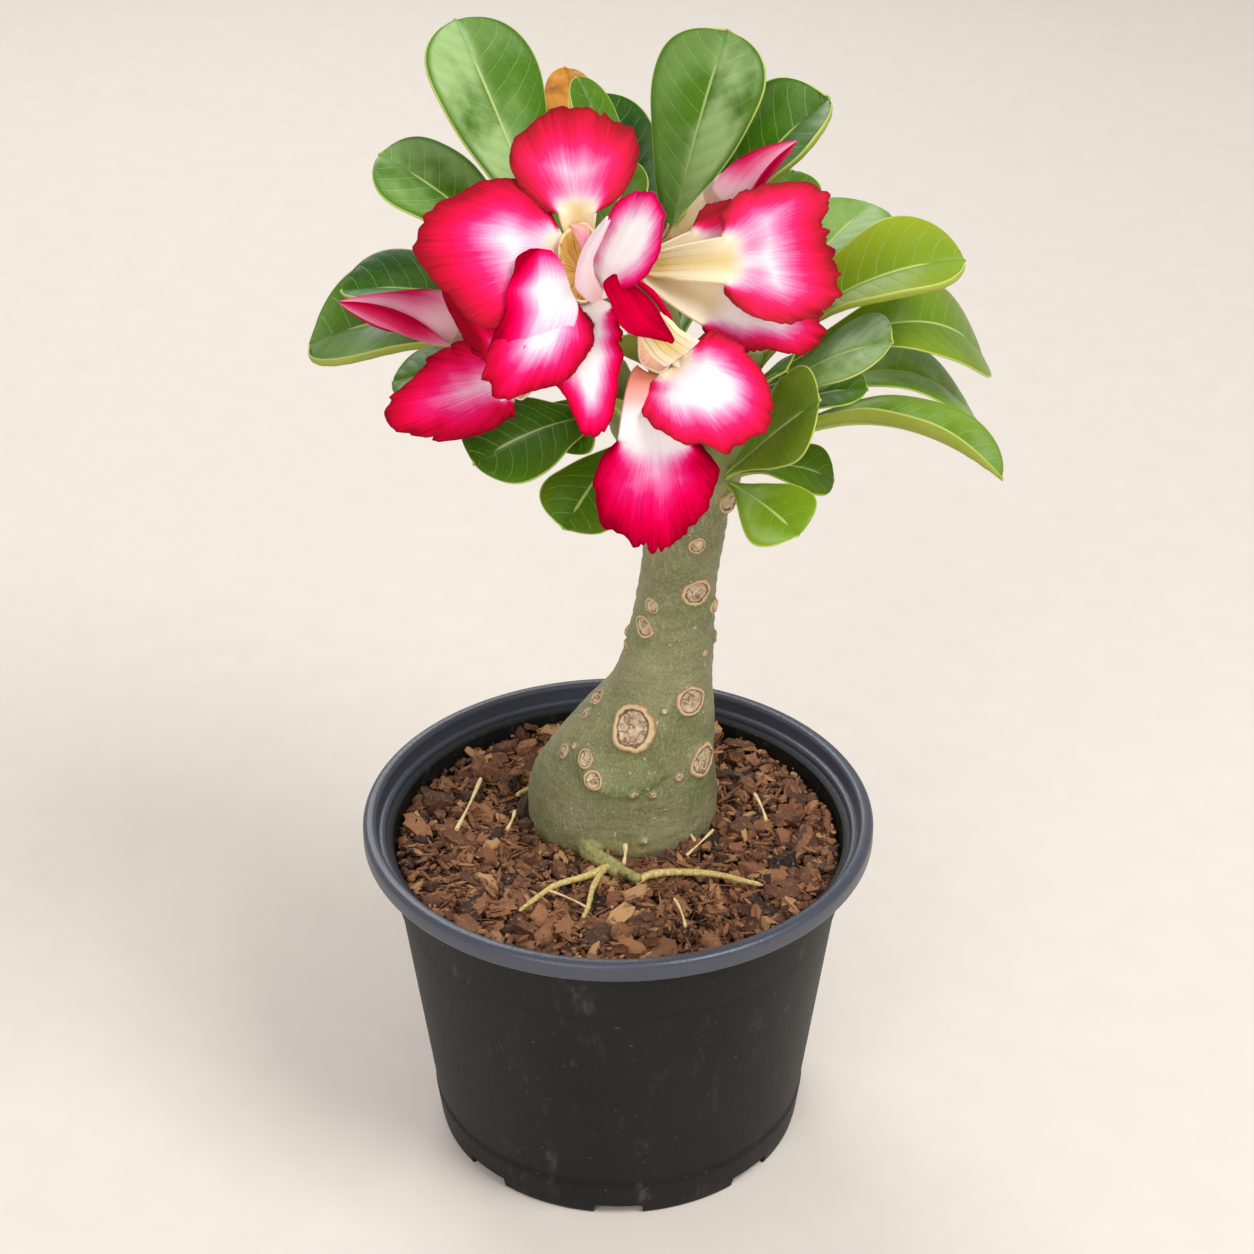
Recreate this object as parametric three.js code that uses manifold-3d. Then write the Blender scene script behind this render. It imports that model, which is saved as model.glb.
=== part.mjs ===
// A desert rose in bloom in its round black nursery pot.
// Millimetres, +Z up. The pot stands on z = 0 with its axis on the Z axis, and -Y is its front.
import * as THREE from "three";
import { mergeVertices } from "three/addons/utils/BufferGeometryUtils.js";
import Module from "manifold-3d";

const wasm = await Module();
wasm.setup();

// ---- Driving dimensions ----

// What touches keeps this gap: the plant in its soil, the soil in its pot, a leaf on its shoot.
const GAP = 0.4;
// Slivers that a join leaves are merged where they stand out by less than this.
const SLIVER = 0.05;

const POT = {
  height: 107.3,
  rimRadius: 75,
  rimDrop: 5.1,
  rimInnerRadius: 70.8,
  topRadius: 68.3,
  baseRadius: 55.7,
  wall: 1.6,
  floor: 2,
  collarHeight: 82,
  collarStep: 0.5,
  bandHeight: 12.4,
  bandStep: 0.4,
  bevel: 1,
  sides: 40,
};
const DRAIN = { count: 8, width: 15, height: 3.4, depth: 7 };

const SOIL = { level: 96, sides: 30, relief: 1.3, seed: 11 };
const SOIL_RINGS = [60, 50, 40, 30, 20];
// The bark chips: their sizes, how far from the pot's axis they lie, the shares of the width that their
// two ends have, and how steeply they may lie, in radians.
const CHIPS = {
  count: 40,
  length: [8, 14],
  width: [4, 8],
  height: [3, 5],
  reach: 56,
  ends: [0.9, 0.6],
  tilt: [1.2, 0.9],
};

// The trunk's rings from the buried plug to the fork: height, centre x and y, half width, half depth.
const TRUNK_RINGS = [
  [78, 1, 15, 24, 20],
  [90, 1, 15, 27, 22.5],
  [100, 1.2, 14.4, 28.4, 24],
  [110, 1.8, 13.6, 27.6, 23.4],
  [120, 4, 12.6, 24.8, 22],
  [132, 7.6, 11.6, 20.6, 19],
  [144, 12, 10.6, 15.6, 15.6],
  [156, 14.6, 9.4, 12.8, 13],
  [170, 16, 8, 11.4, 11.6],
  [184, 17.2, 6.6, 10.9, 11],
  [198, 18.8, 5.4, 11.2, 11.2],
  [212, 19.8, 5, 11.2, 11],
  [222, 20, 5, 8.6, 8.6],
];
const TRUNK = { sides: 16, steps: 18 };
// The trunk's soft swellings: lobes round its foot, which fade over a height, and fainter ones all the way
// up.
const SWELLING = {
  depth: 0.5,
  height: 112,
  fade: 16,
  lobes: 5,
  twist: 0.09,
  upperDepth: 0.2,
  upperLobes: 3,
  upperTwist: 0.13,
};

// Each branch: its foot in the trunk's top, the point that it bends towards, its tip and its two radii.
const BRANCHES = {
  left: { path: [[15, 5, 206], [4, 4, 236], [-15, 2, 267]], radii: [8, 4.4] },
  centre: { path: [[20, 6, 208], [16, 12, 240], [9, 15, 268]], radii: [8, 4.4] },
  right: { path: [[25, 4, 208], [31, 0, 228], [35, -2, 256]], radii: [7, 4.2] },
};
const BRANCH = { sides: 8, steps: 4 };

// Scars of dropped leaves and cut shoots: the way that each faces in degrees, its height and its width.
const SCARS = [
  [-109, 139, 13],
  [-34, 124, 10.5],
  [-56, 146, 9.4],
  [-63, 182, 8.6],
  [-138, 169, 7],
  [-132, 127, 5.2],
  [-114, 121, 6.5],
  [-155, 125, 4],
  [-169, 141, 4],
  [-21, 174, 4.4],
  [-128, 177, 4.6],
  [-73, 198, 4.6],
  [35, 150, 8],
  [88, 130, 9],
  [120, 172, 7],
  [60, 190, 6],
  [-30, 210, 7.4],
];
const SCAR = { sides: 7, rise: 0.9, sunk: 4.5, slope: 0.75 };

// The roots on the soil: points that each runs through, x and y, and its radius at both ends.
const ROOTS = [
  { points: [[-10, 4], [-9, -8], [-4, -14], [1, -19], [6, -25]], radii: [2.1, 1.4] },
  { points: [[5, -24], [13, -21], [24, -21], [32, -24], [41, -28]], radii: [1.3, 0.6] },
  { points: [[-2, -16], [-8, -22], [-17, -27], [-22, -32], [-28, -39]], radii: [1.2, 0.6] },
  { points: [[-4, -18], [-7, -28], [-8, -35], [-10, -43]], radii: [1, 0.6] },
  { points: [[-14, 22], [-24, 24], [-31, 18]], radii: [1.3, 0.6] },
];
const ROOT = { sides: 5, steps: 8, height: 98 };

// Each leaf: its branch, how far up it stands, its tip, its width, its roll about its own midrib and the
// fold of its halves, both in degrees, and the rise and the sideways bend of its midrib as shares of its
// length.
const LEAVES = [
  ["leaf_left_1", "left", 0.99, [-42, 30, 334], 38, 0, 10, 0.05, -0.03],
  ["leaf_left_2", "left", 0.92, [-62, 14, 303], 33, -15, 12, 0.08, 0],
  ["leaf_left_3", "left", 0.64, [-83, 10, 251], 42, -26, 20, 0.22, 0],
  ["leaf_left_4", "left", 0.76, [-73, 4, 269], 28, -14, 24, 0.13, 0],
  ["leaf_left_5", "left", 0.6, [-61, 8, 241], 26, -10, 12, 0.08, 0],
  ["leaf_left_6", "left", 0.5, [-37, -30, 235], 26, -20, 14, 0.1, 0],
  ["leaf_left_7", "left", 0.38, [-14, -30, 216], 22, -20, 12, 0.1, 0],
  ["leaf_centre_1", "centre", 0.99, [29, 34, 330], 38, 0, 10, 0.05, 0.02],
  ["leaf_centre_2", "centre", 0.84, [55, 18, 317], 38, 18, 18, 0.08, 0],
  ["leaf_centre_3", "centre", 0.93, [-11, 32, 318], 16, 0, 10, 0.05, 0],
  ["leaf_centre_4", "centre", 0.72, [-6, 52, 307], 24, 0, 10, 0.08, 0],
  ["leaf_right_1", "right", 0.99, [47, 30, 293], 22, 0, 10, 0.08, 0],
  ["leaf_right_2", "right", 0.93, [69, 34, 282], 28, 0, 12, 0.08, 0],
  ["leaf_right_3", "right", 0.9, [90, -4, 281], 34, 24, 18, 0.16, 0],
  ["leaf_right_4", "right", 0.77, [101, 26, 240], 28, 8, 16, 0.34, 0],
  ["leaf_right_5", "right", 0.52, [71, -18, 264], 31, 16, 4, 0.12, 0],
  ["leaf_right_6", "right", 0.68, [79, 32, 239], 20, 10, 12, 0.08, 0],
  ["leaf_right_7", "right", 0.52, [100, 24, 222], 27, 16, 16, 0.27, 0],
  ["leaf_right_8", "right", 0.32, [101, -25, 228], 30, -4, 34, 0.2, 0],
  ["leaf_right_9", "right", 0.42, [66, -10, 247], 20, 10, 12, 0.14, 0],
  ["leaf_right_10", "right", 0.26, [51, -38, 257], 26, 66, 8, 0.02, 0],
  ["leaf_right_11", "right", 0.2, [48, -26, 212], 22, 24, 12, 0.1, 0],
  ["leaf_right_12", "right", 0.22, [59, 0, 215], 18, 24, 14, 0.2, 0],
  ["leaf_back_1", "left", 0.8, [-58, 56, 252], 30, 10, 12, 0.1, 0],
  ["leaf_back_2", "left", 0.46, [-34, 58, 222], 26, 10, 12, 0.1, 0],
  ["leaf_back_3", "centre", 0.54, [-24, 80, 252], 30, 0, 12, 0.1, 0],
  ["leaf_back_4", "centre", 0.6, [28, 84, 250], 30, 0, 12, 0.1, 0],
  ["leaf_back_5", "right", 0.86, [62, 66, 250], 30, -10, 12, 0.1, 0],
  ["leaf_back_6", "right", 0.44, [48, 62, 214], 26, -10, 12, 0.1, 0],
];
const DRIED_LEAF = ["leaf_dried", "left", 0.9, [-14, 58, 312], 14, 0, 25, 0.12, 0];
// Narrow and blunt shape a leaf's outline towards its stalk and its end; its stalk sits sunk in the shoot.
const LEAF = {
  rows: 6,
  columns: 4,
  thickness: 0.9,
  petiole: 2.2,
  thinning: 4,
  tipWidth: 1.4,
  narrow: 1.25,
  blunt: 5,
  sunk: 1,
};

// Each bloom: its branch, the base and the mouth of its funnel, the mouth's half width and half height, and
// its petals. A petal has its tip, the length of its claw, the claw's width at its foot and at its end, the
// angle that its blade opens by on each side of its middle line and its roll, both in degrees, how far it
// rises out of the mouth first, the angle round the mouth from the side that it spreads to, to the side that
// it grows on, and how far its margin is from the claw's end at nine even angles, the last one clockwise of
// the others as seen from the front.
const BLOOMS = {
  bloom_1: {
    branch: "left",
    base: [-8, -12, 274],
    mouth: [-9, -36, 293],
    mouthSize: [5.6, 10],
    petals: [
      [[-11, -20, 329], 11, 7, 9, 90, 0, 2, 0, [6, 13, 22, 22, 22, 22, 22, 12, 5]],
      [[-49, -42, 299], 6, 6, 9, 92, 0, 3, -35, [8, 15, 28, 31, 33, 31, 25, 12, 7]],
      [[-33, -52, 269], 5, 7, 9, 110, 0, 3, 10, [5, 8, 18, 28, 28, 17, 15, 14, 14]],
      [[-5, -50, 252], 10, 4, 14, 90, 0, 5, 0, [7, 9, 12, 20, 28, 20, 13, 9, 8]],
      [[9, -48, 318], 12, 3, 8, 60, 0, 8, -90, [10, 12, 15, 21, 26, 27, 20, 8, 4]],
    ],
  },
  bloom_2: {
    branch: "centre",
    base: [7, -6, 278],
    mouth: [4, -26, 288],
    mouthSize: [3.4, 3.4],
    petals: [
      [[54, -34, 294], 32, 3, 11, 92, 0, 5, 0, [12, 19, 24, 18, 18, 20, 21, 15, 8]],
      [[50, -28, 266], 30, 3, 12, 80, 0, 4, 0, [8, 12, 19, 20, 19, 14, 12, 9, 7]],
      [[52, -20, 281], 24, 3, 9, 70, 0, 0, 0, [9, 12, 14, 18, 21, 18, 14, 12, 9]],
      [[50, -20, 300], 24, 3, 8, 70, 0, 1, 0, [9, 12, 14, 18, 21, 18, 14, 12, 9]],
    ],
  },
  bloom_3: {
    branch: "right",
    base: [14, -12, 260],
    mouth: [10, -38, 272],
    mouthSize: [5, 7],
    petals: [
      [[33, -54, 250], 6, 7, 9, 110, 0, 5, 0, [12, 14, 19, 27, 26, 22, 17, 13, 13]],
      [[10, -50, 221], 29, 7, 18, 88, 0, 4, 0, [9, 17, 18, 18, 19, 20, 21, 16, 9]],
      [[-1, -64, 300], 16, 3, 6, 80, 0, 8, 10, [4, 4, 6, 11, 17, 12, 8, 6, 5]],
      [[34, -38, 262], 8, 6, 7, 72, 0, 1, 0, [7, 9, 10, 13, 17, 13, 10, 9, 7]],
    ],
  },
  bloom_4: {
    branch: "left",
    base: [-17, -14, 257],
    mouth: [-25, -33, 260],
    mouthSize: [4, 5],
    petals: [
      [[-60, -42, 253], 4, 6, 9, 90, 0, 2, 0, [9, 10, 16, 25, 32, 25, 19, 12, 10]],
      [[-42, -32, 286], 8, 6, 8, 80, 0, 3, 0, [8, 9, 10, 14, 22, 14, 10, 9, 8]],
      [[-46, -26, 250], 8, 6, 8, 80, 0, 0, 0, [7, 8, 9, 11, 16, 11, 9, 8, 7]],
    ],
  },
};
// A petal starts sunk below the funnel's mouth and bends out over its lip. Ripple and waves are the height
// and number of the waves of its margin, curl is the radius that its sides curl back by, trough is how deep
// its claw is as a share of the claw's half width, and inset is where it stands as a share of the mouth's
// size.
const PETAL = {
  rows: 4,
  columns: 8,
  thickness: 0.9,
  ripple: 1.2,
  waves: 2.5,
  phase: 2,
  curl: 55,
  trough: 0.5,
  inset: 0.8,
  sunk: 4,
  lip: 2,
};
// The funnel is hollow from a share of its length up to its mouth.
const FUNNEL = {
  sides: 8,
  steps: 3,
  wall: 0.9,
  baseRadius: 2.4,
  flare: 0.8,
  inside: 0.35,
  hollowSteps: 2,
  overshoot: 1,
};
const PEDICEL = { sides: 5, steps: 3, radius: 1.5, offset: 3.4, bend: 0.6, sag: 2 };
const CALYX = { sides: 5, length: 7, radii: [1.6, 4], sunk: 0.3 };

// Each bud: its branch, the base and the end of its tube, its tip, and the fullness of its furled petals.
const BUDS = {
  bud_1: {
    branch: "centre",
    base: [12, 3, 281],
    shoulder: [27, -4, 300],
    tip: [45, -8, 314],
    radius: 4.4,
  },
  bud_2: {
    branch: "left",
    base: [-25, -5, 264],
    shoulder: [-39, -16, 267],
    tip: [-69, -30, 280],
    radius: 6,
  },
};
const BUD = { sides: 7, steps: 8, baseRadius: 2, widest: 0.5, blunt: 0.7, tipRadius: 0.5 };

const MATERIALS = {
  plastic: new THREE.MeshStandardMaterial({ color: 0x1b1d20, roughness: 0.55, metalness: 0 }),
  soil: new THREE.MeshStandardMaterial({ color: 0x4a3022, roughness: 0.95, metalness: 0 }),
  bark: new THREE.MeshStandardMaterial({ color: 0x8d9270, roughness: 0.7, metalness: 0 }),
  leaf: new THREE.MeshStandardMaterial({ color: 0x3f7a2a, roughness: 0.4, metalness: 0 }),
  dried: new THREE.MeshStandardMaterial({ color: 0xb9772c, roughness: 0.8, metalness: 0 }),
  petal: new THREE.MeshStandardMaterial({ color: 0xd81f58, roughness: 0.55, metalness: 0 }),
};

// ---- Helpers ----

const vector = (values) => new THREE.Vector3(...values);
const radians = THREE.MathUtils.degToRad;
const SKY = new THREE.Vector3(0, 0, 1);
const EAST = new THREE.Vector3(1, 0, 0);
// The share of a curve or a sheet over which its direction is taken.
const NUDGE = 1e-3;
const SAME_POINT = 1e-4;
const RANDOM = { multiplier: 16807, modulus: 2147483647 };

// The same draws each time, from 0 to 1.
function randomDraws(seed) {
  let state = seed;
  return () => {
    state = (state * RANDOM.multiplier) % RANDOM.modulus;
    return state / RANDOM.modulus;
  };
}

// A closed geometry as a solid that can be joined and cut.
function solidOf(geometry) {
  const bare = geometry.clone();
  bare.deleteAttribute("normal");
  bare.deleteAttribute("uv");
  const merged = mergeVertices(bare, SAME_POINT);
  const vertProperties = new Float32Array(merged.attributes.position.array);
  const triVerts = new Uint32Array(merged.index.array);
  return new wasm.Manifold(new wasm.Mesh({ numProp: 3, vertProperties, triVerts }));
}

// The largest body of a solid, without the scraps that a cut leaves.
function mainBody(solid) {
  const bodies = solid.decompose();
  return bodies.reduce((largest, body) => (body.volume() > largest.volume() ? body : largest));
}

function joined(solids) {
  return solids.reduce((whole, solid) => whole.add(solid));
}

function meshOf(name, solid, material) {
  const { numProp, numVert, vertProperties, triVerts } = mainBody(solid).simplify(SLIVER).getMesh();
  const position = new Float32Array(numVert * 3);
  for (let i = 0; i < numVert; i += 1) {
    position.set(vertProperties.subarray(i * numProp, i * numProp + 3), i * 3);
  }
  const geometry = new THREE.BufferGeometry();
  geometry.setAttribute("position", new THREE.BufferAttribute(position, 3));
  geometry.setIndex(new THREE.BufferAttribute(new Uint32Array(triVerts), 1));
  geometry.computeVertexNormals();
  const mesh = new THREE.Mesh(geometry, material);
  mesh.name = name;
  return mesh;
}

// A smooth value, number or list, between the rows of a table at a place from 0 to 1.
function between(rows, place) {
  const spot = Math.min(Math.max(place, 0), 1) * (rows.length - 1);
  const index = Math.min(Math.floor(spot), rows.length - 2);
  const t = spot - index;
  const row = (k) => rows[Math.min(Math.max(index + k, 0), rows.length - 1)];
  const [a, b, c, d] = [row(-1), row(0), row(1), row(2)];
  return b.map((value, k) => {
    const slope = (c[k] - a[k]) / 2;
    const next = (d[k] - value) / 2;
    const rise = c[k] - value;
    const bendIn = 3 * rise - 2 * slope - next;
    const bendOut = slope + next - 2 * rise;
    return value + slope * t + bendIn * t * t + bendOut * t * t * t;
  });
}

// A quadratic curve from one point to another, bent towards the middle one.
function bentLine([start, bend, end]) {
  const curve = new THREE.QuadraticBezierCurve3(vector(start), vector(bend), vector(end));
  return (u) => curve.getPoint(u);
}

// A closed rod: each ring of a cylinder is set on its own centre with its own two half axes.
function rod(sides, steps, ringAt) {
  const geometry = new THREE.CylinderGeometry(1, 1, 1, sides, steps);
  const position = geometry.attributes.position;
  for (let i = 0; i < position.count; i += 1) {
    const x = position.getX(i);
    const z = position.getZ(i);
    const { centre, right, back } = ringAt(position.getY(i) + 0.5, Math.atan2(z, x));
    const point = centre.clone().addScaledVector(right, x).addScaledVector(back, z);
    position.setXYZ(i, point.x, point.y, point.z);
  }
  return solidOf(geometry);
}

// The rings of a round rod along a path, square to it.
function roundRings(path, radiusAt, reference = EAST) {
  return (u) => {
    const ahead = path(Math.min(u + NUDGE, 1)).sub(path(Math.max(u - NUDGE, 0))).normalize();
    const right = reference.clone().addScaledVector(ahead, -reference.dot(ahead)).normalize();
    const back = right.clone().cross(ahead);
    const radius = radiusAt(u);
    return { centre: path(u), right: right.multiplyScalar(radius), back: back.multiplyScalar(radius) };
  };
}

const tapered = ([start, end]) => (u) => start + (end - start) * u;

// A closed sheet of even thickness over place(u, v), u from 0 to 1 along it and v from -1 to 1 across it.
// Both of its faces are split into triangles alike.
function sheet(rows, columns, place, thicknessAt) {
  const perFace = (rows + 1) * (columns + 1);
  const position = [];
  for (const face of [1, -1]) {
    for (let i = 0; i <= rows; i += 1) {
      for (let j = 0; j <= columns; j += 1) {
        const u = i / rows;
        const v = (2 * j) / columns - 1;
        const along = place(Math.min(u + NUDGE, 1), v).sub(place(Math.max(u - NUDGE, 0), v));
        const across = place(u, Math.min(v + NUDGE, 1)).sub(place(u, Math.max(v - NUDGE, -1)));
        const normal = across.cross(along).normalize();
        position.push(...place(u, v).addScaledVector(normal, (face * thicknessAt(u)) / 2));
      }
    }
  }
  const at = (i, j) => i * (columns + 1) + j;
  const index = [];
  for (let i = 0; i < rows; i += 1) {
    for (let j = 0; j < columns; j += 1) {
      const [a, b, c, d] = [at(i, j), at(i, j + 1), at(i + 1, j + 1), at(i + 1, j)];
      index.push(a, b, c, a, c, d);
      index.push(perFace + a, perFace + c, perFace + b, perFace + a, perFace + d, perFace + c);
    }
  }
  const edge = [];
  for (let j = 0; j < columns; j += 1) edge.push(at(0, j));
  for (let i = 0; i < rows; i += 1) edge.push(at(i, columns));
  for (let j = columns; j > 0; j -= 1) edge.push(at(rows, j));
  for (let i = rows; i > 0; i -= 1) edge.push(at(i, 0));
  edge.forEach((p, k) => {
    const q = edge[(k + 1) % edge.length];
    index.push(perFace + p, perFace + q, q, perFace + p, q, p);
  });
  const geometry = new THREE.BufferGeometry();
  geometry.setAttribute("position", new THREE.BufferAttribute(new Float32Array(position), 3));
  geometry.setIndex(index);
  return solidOf(geometry);
}

// ---- Pot ----

const wallRadius = (z) => {
  const share = z / (POT.height - POT.rimDrop);
  return POT.baseRadius + (POT.topRadius - POT.baseRadius) * share;
};

function makePot() {
  const { height, rimRadius, rimInnerRadius, topRadius, wall, floor } = POT;
  const rimFoot = height - POT.rimDrop;
  const innerTop = wallRadius(SOIL.level) - wall;
  const profile = [
    [0, 0],
    [POT.baseRadius - POT.bevel, 0],
    [POT.baseRadius, POT.bevel],
    [wallRadius(POT.bandHeight), POT.bandHeight],
    [wallRadius(POT.bandHeight) - POT.bandStep, POT.bandHeight + POT.bandStep],
    [wallRadius(POT.collarHeight) - POT.bandStep, POT.collarHeight - POT.collarStep],
    [wallRadius(POT.collarHeight) + POT.collarStep - POT.bandStep, POT.collarHeight],
    [topRadius, rimFoot + wall],
    [rimRadius - wall, rimFoot + wall],
    [rimRadius - wall, rimFoot],
    [rimRadius, rimFoot],
    [rimRadius, height - wall],
    [rimRadius - wall, height],
    [rimInnerRadius + wall, height],
    [rimInnerRadius, height - wall],
    [rimInnerRadius - wall / 2, rimFoot],
    [innerTop, SOIL.level],
    [wallRadius(floor) - wall, floor],
    [0, floor],
  ];
  const points = profile.map(([radius, z]) => new THREE.Vector2(radius, z));
  const body = new THREE.LatheGeometry(points, POT.sides).rotateX(Math.PI / 2);
  let pot = solidOf(body);
  for (let i = 0; i < DRAIN.count; i += 1) {
    const cutter = new THREE.BoxGeometry(DRAIN.depth, DRAIN.width, 2 * DRAIN.height);
    cutter.translate(POT.baseRadius, 0, 0);
    cutter.rotateZ((2 * Math.PI * i) / DRAIN.count);
    pot = pot.subtract(solidOf(cutter));
  }
  return pot;
}

// ---- Trunk, branches, scars and roots ----

// The trunk's table at a height, by the rows on both sides of it.
function trunkAt(z) {
  const last = TRUNK_RINGS.length - 1;
  const above = TRUNK_RINGS.findIndex(([height], i) => i > 0 && (height >= z || i === last));
  const [low, high] = [TRUNK_RINGS[above - 1][0], TRUNK_RINGS[above][0]];
  const place = (above - 1 + (z - low) / (high - low)) / last;
  const [, x, y, halfWidth, halfDepth] = between(TRUNK_RINGS, place);
  return { x, y, halfWidth, halfDepth };
}

function swelling(z, angle) {
  const { depth, height, fade, lobes, twist, upperDepth, upperLobes, upperTwist } = SWELLING;
  const low = Math.exp(-(((z - height) / fade) ** 2)) * Math.sin(lobes * angle + twist * z);
  return depth * low + upperDepth * Math.sin(upperLobes * angle - upperTwist * z);
}

function trunkBody(grow) {
  const [low, high] = [TRUNK_RINGS[0][0], TRUNK_RINGS.at(-1)[0]];
  return rod(TRUNK.sides, TRUNK.steps, (u, angle) => {
    const z = low + (high - low) * u;
    const { x, y, halfWidth, halfDepth } = trunkAt(z);
    const extra = grow + swelling(z, angle);
    return {
      centre: new THREE.Vector3(x, y, z),
      right: new THREE.Vector3(halfWidth + extra, 0, 0),
      back: new THREE.Vector3(0, -(halfDepth + extra), 0),
    };
  });
}

function branchRod({ path, radii }, grow) {
  const radiusAt = (u) => tapered(radii)(u) + grow;
  return rod(BRANCH.sides, BRANCH.steps, roundRings(bentLine(path), radiusAt));
}

function scarBoss([facing, z, width]) {
  const { x, y, halfWidth, halfDepth } = trunkAt(z);
  const turn = radians(facing);
  const onSkin = new THREE.Vector3(x + halfWidth * Math.cos(turn), y + halfDepth * Math.sin(turn), z);
  const outward = new THREE.Vector3(Math.cos(turn) / halfWidth, Math.sin(turn) / halfDepth, 0).normalize();
  const length = SCAR.rise + SCAR.sunk;
  const boss = new THREE.CylinderGeometry((width / 2) * SCAR.slope, width / 2, length, SCAR.sides);
  boss.translate(0, SCAR.rise - length / 2, 0);
  boss.applyQuaternion(new THREE.Quaternion().setFromUnitVectors(new THREE.Vector3(0, 1, 0), outward));
  boss.translate(...onSkin);
  return solidOf(boss);
}

function surfaceRoot({ points, radii }, grow) {
  const path = (u) => vector([...between(points, u), ROOT.height]);
  const radiusAt = (u) => tapered(radii)(u) + grow;
  return rod(ROOT.sides, ROOT.steps, roundRings(path, radiusAt, SKY));
}

const branchNames = Object.keys(BRANCHES);
const shoots = (grow) => joined(branchNames.map((name) => branchRod(BRANCHES[name], grow)));
const roots = (grow) => joined(ROOTS.map((root) => surfaceRoot(root, grow)));

function makeTrunk() {
  return joined([trunkBody(0), shoots(0), roots(0), ...SCARS.map(scarBoss)]);
}

// What the plant's own pieces are trimmed by, so that they end just clear of the shoots.
const shootSleeve = shoots(GAP).add(trunkBody(GAP));

// ---- Soil ----

function barkChip(draw) {
  const span = ([low, high]) => low + (high - low) * draw();
  const chip = new THREE.BoxGeometry(span(CHIPS.length), span(CHIPS.width), span(CHIPS.height));
  const position = chip.attributes.position;
  for (let i = 0; i < position.count; i += 1) {
    const share = position.getX(i) > 0 ? CHIPS.ends[1] : CHIPS.ends[0];
    position.setY(i, position.getY(i) * share);
  }
  chip.rotateX((draw() - 0.5) * CHIPS.tilt[0]);
  chip.rotateY((draw() - 0.5) * CHIPS.tilt[1]);
  chip.rotateZ(draw() * Math.PI);
  const reach = CHIPS.reach * Math.sqrt(draw());
  const angle = 2 * Math.PI * draw();
  chip.translate(reach * Math.cos(angle), reach * Math.sin(angle), SOIL.level + draw());
  return solidOf(chip);
}

function makeSoil() {
  const draw = randomDraws(SOIL.seed);
  const clear = POT.wall + 2 * GAP;
  const bottom = POT.floor + GAP;
  const profile = [
    [0, bottom],
    [wallRadius(bottom) - clear, bottom],
    [wallRadius(SOIL.level) - clear, SOIL.level],
    ...SOIL_RINGS.map((radius) => [radius, SOIL.level]),
    [0, SOIL.level],
  ];
  const bed = new THREE.LatheGeometry(profile.map(([r, z]) => new THREE.Vector2(r, z)), SOIL.sides);
  const position = bed.attributes.position;
  const heights = new Map();
  for (let i = 0; i < position.count; i += 1) {
    const ring = i % profile.length;
    const spoke = Math.floor(i / profile.length) % SOIL.sides;
    const key = `${ring} ${spoke}`;
    const onTop = ring > 2 && ring < profile.length - 1;
    if (onTop && !heights.has(key)) heights.set(key, (draw() - 0.5) * 2 * SOIL.relief);
    if (onTop) position.setY(i, SOIL.level + heights.get(key));
  }
  bed.rotateX(Math.PI / 2);
  const chips = Array.from({ length: CHIPS.count }, () => barkChip(draw));
  return joined([solidOf(bed), ...chips]).subtract(trunkBody(GAP)).subtract(roots(GAP));
}

// ---- Leaves ----

// The cross-section of a blade that is folded up along its midrib and curls level again towards its
// margins: how far out and how far up the share t of its half width is.
function crossSection(t, fold) {
  const end = fold * (1 - Math.abs(t));
  const out = (Math.sin(fold) - Math.sin(end)) / fold;
  return [Math.sign(t) * out, (Math.cos(end) - Math.cos(fold)) / fold];
}

const leafProfile = (s) => s ** LEAF.narrow * Math.sqrt(Math.max(1 - s ** LEAF.blunt, 0));
const widestProfile = Math.max(...Array.from({ length: 50 }, (_, i) => leafProfile(i / 50)));

function makeLeaf([, branch, height, tip, width, roll, fold, bow, sway]) {
  const { path, radii } = BRANCHES[branch];
  const shoot = bentLine(path);
  const foot = shoot(height);
  const end = vector(tip);
  const grain = shoot(Math.min(height + NUDGE, 1)).sub(shoot(height - NUDGE)).normalize();
  const away = end.clone().sub(foot);
  away.addScaledVector(grain, -away.dot(grain)).normalize();
  const root = foot.clone().addScaledVector(away, tapered(radii)(height) - LEAF.sunk);
  const chord = end.clone().sub(root);
  const length = chord.length();
  const ahead = chord.clone().normalize();
  const up = SKY.clone().addScaledVector(ahead, -SKY.dot(ahead)).normalize();
  up.applyAxisAngle(ahead, radians(roll));
  const side = ahead.clone().cross(up);
  const halfWidth = (s) => {
    const blade = (leafProfile(s) / widestProfile) * (width / 2);
    const stalk = s < 0.5 ? LEAF.petiole / 2 : LEAF.tipWidth / 2;
    return Math.max(blade, stalk);
  };
  const place = (u, v) => {
    const s = Math.sin((u * Math.PI) / 2);
    const arch = 4 * s * (1 - s) * length;
    const [out, lift] = crossSection(v, radians(fold));
    const reach = halfWidth(s);
    return root
      .clone()
      .addScaledVector(chord, s)
      .addScaledVector(up, bow * arch + lift * reach)
      .addScaledVector(side, sway * arch + out * reach);
  };
  const thicknessAt = (u) => LEAF.thickness + (LEAF.petiole - LEAF.thickness) * (1 - u) ** LEAF.thinning;
  return sheet(LEAF.rows, LEAF.columns, place, thicknessAt).subtract(shootSleeve);
}

// ---- Blooms and buds ----

// The oval rings of a funnel, level and upright across its axis.
function ovalRings(path, sizeAt) {
  return (u) => {
    const { centre, right, back } = roundRings(path, () => 1)(u);
    const [halfWidth, halfHeight] = sizeAt(u);
    return { centre, right: right.multiplyScalar(halfWidth), back: back.multiplyScalar(halfHeight) };
  };
}

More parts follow.
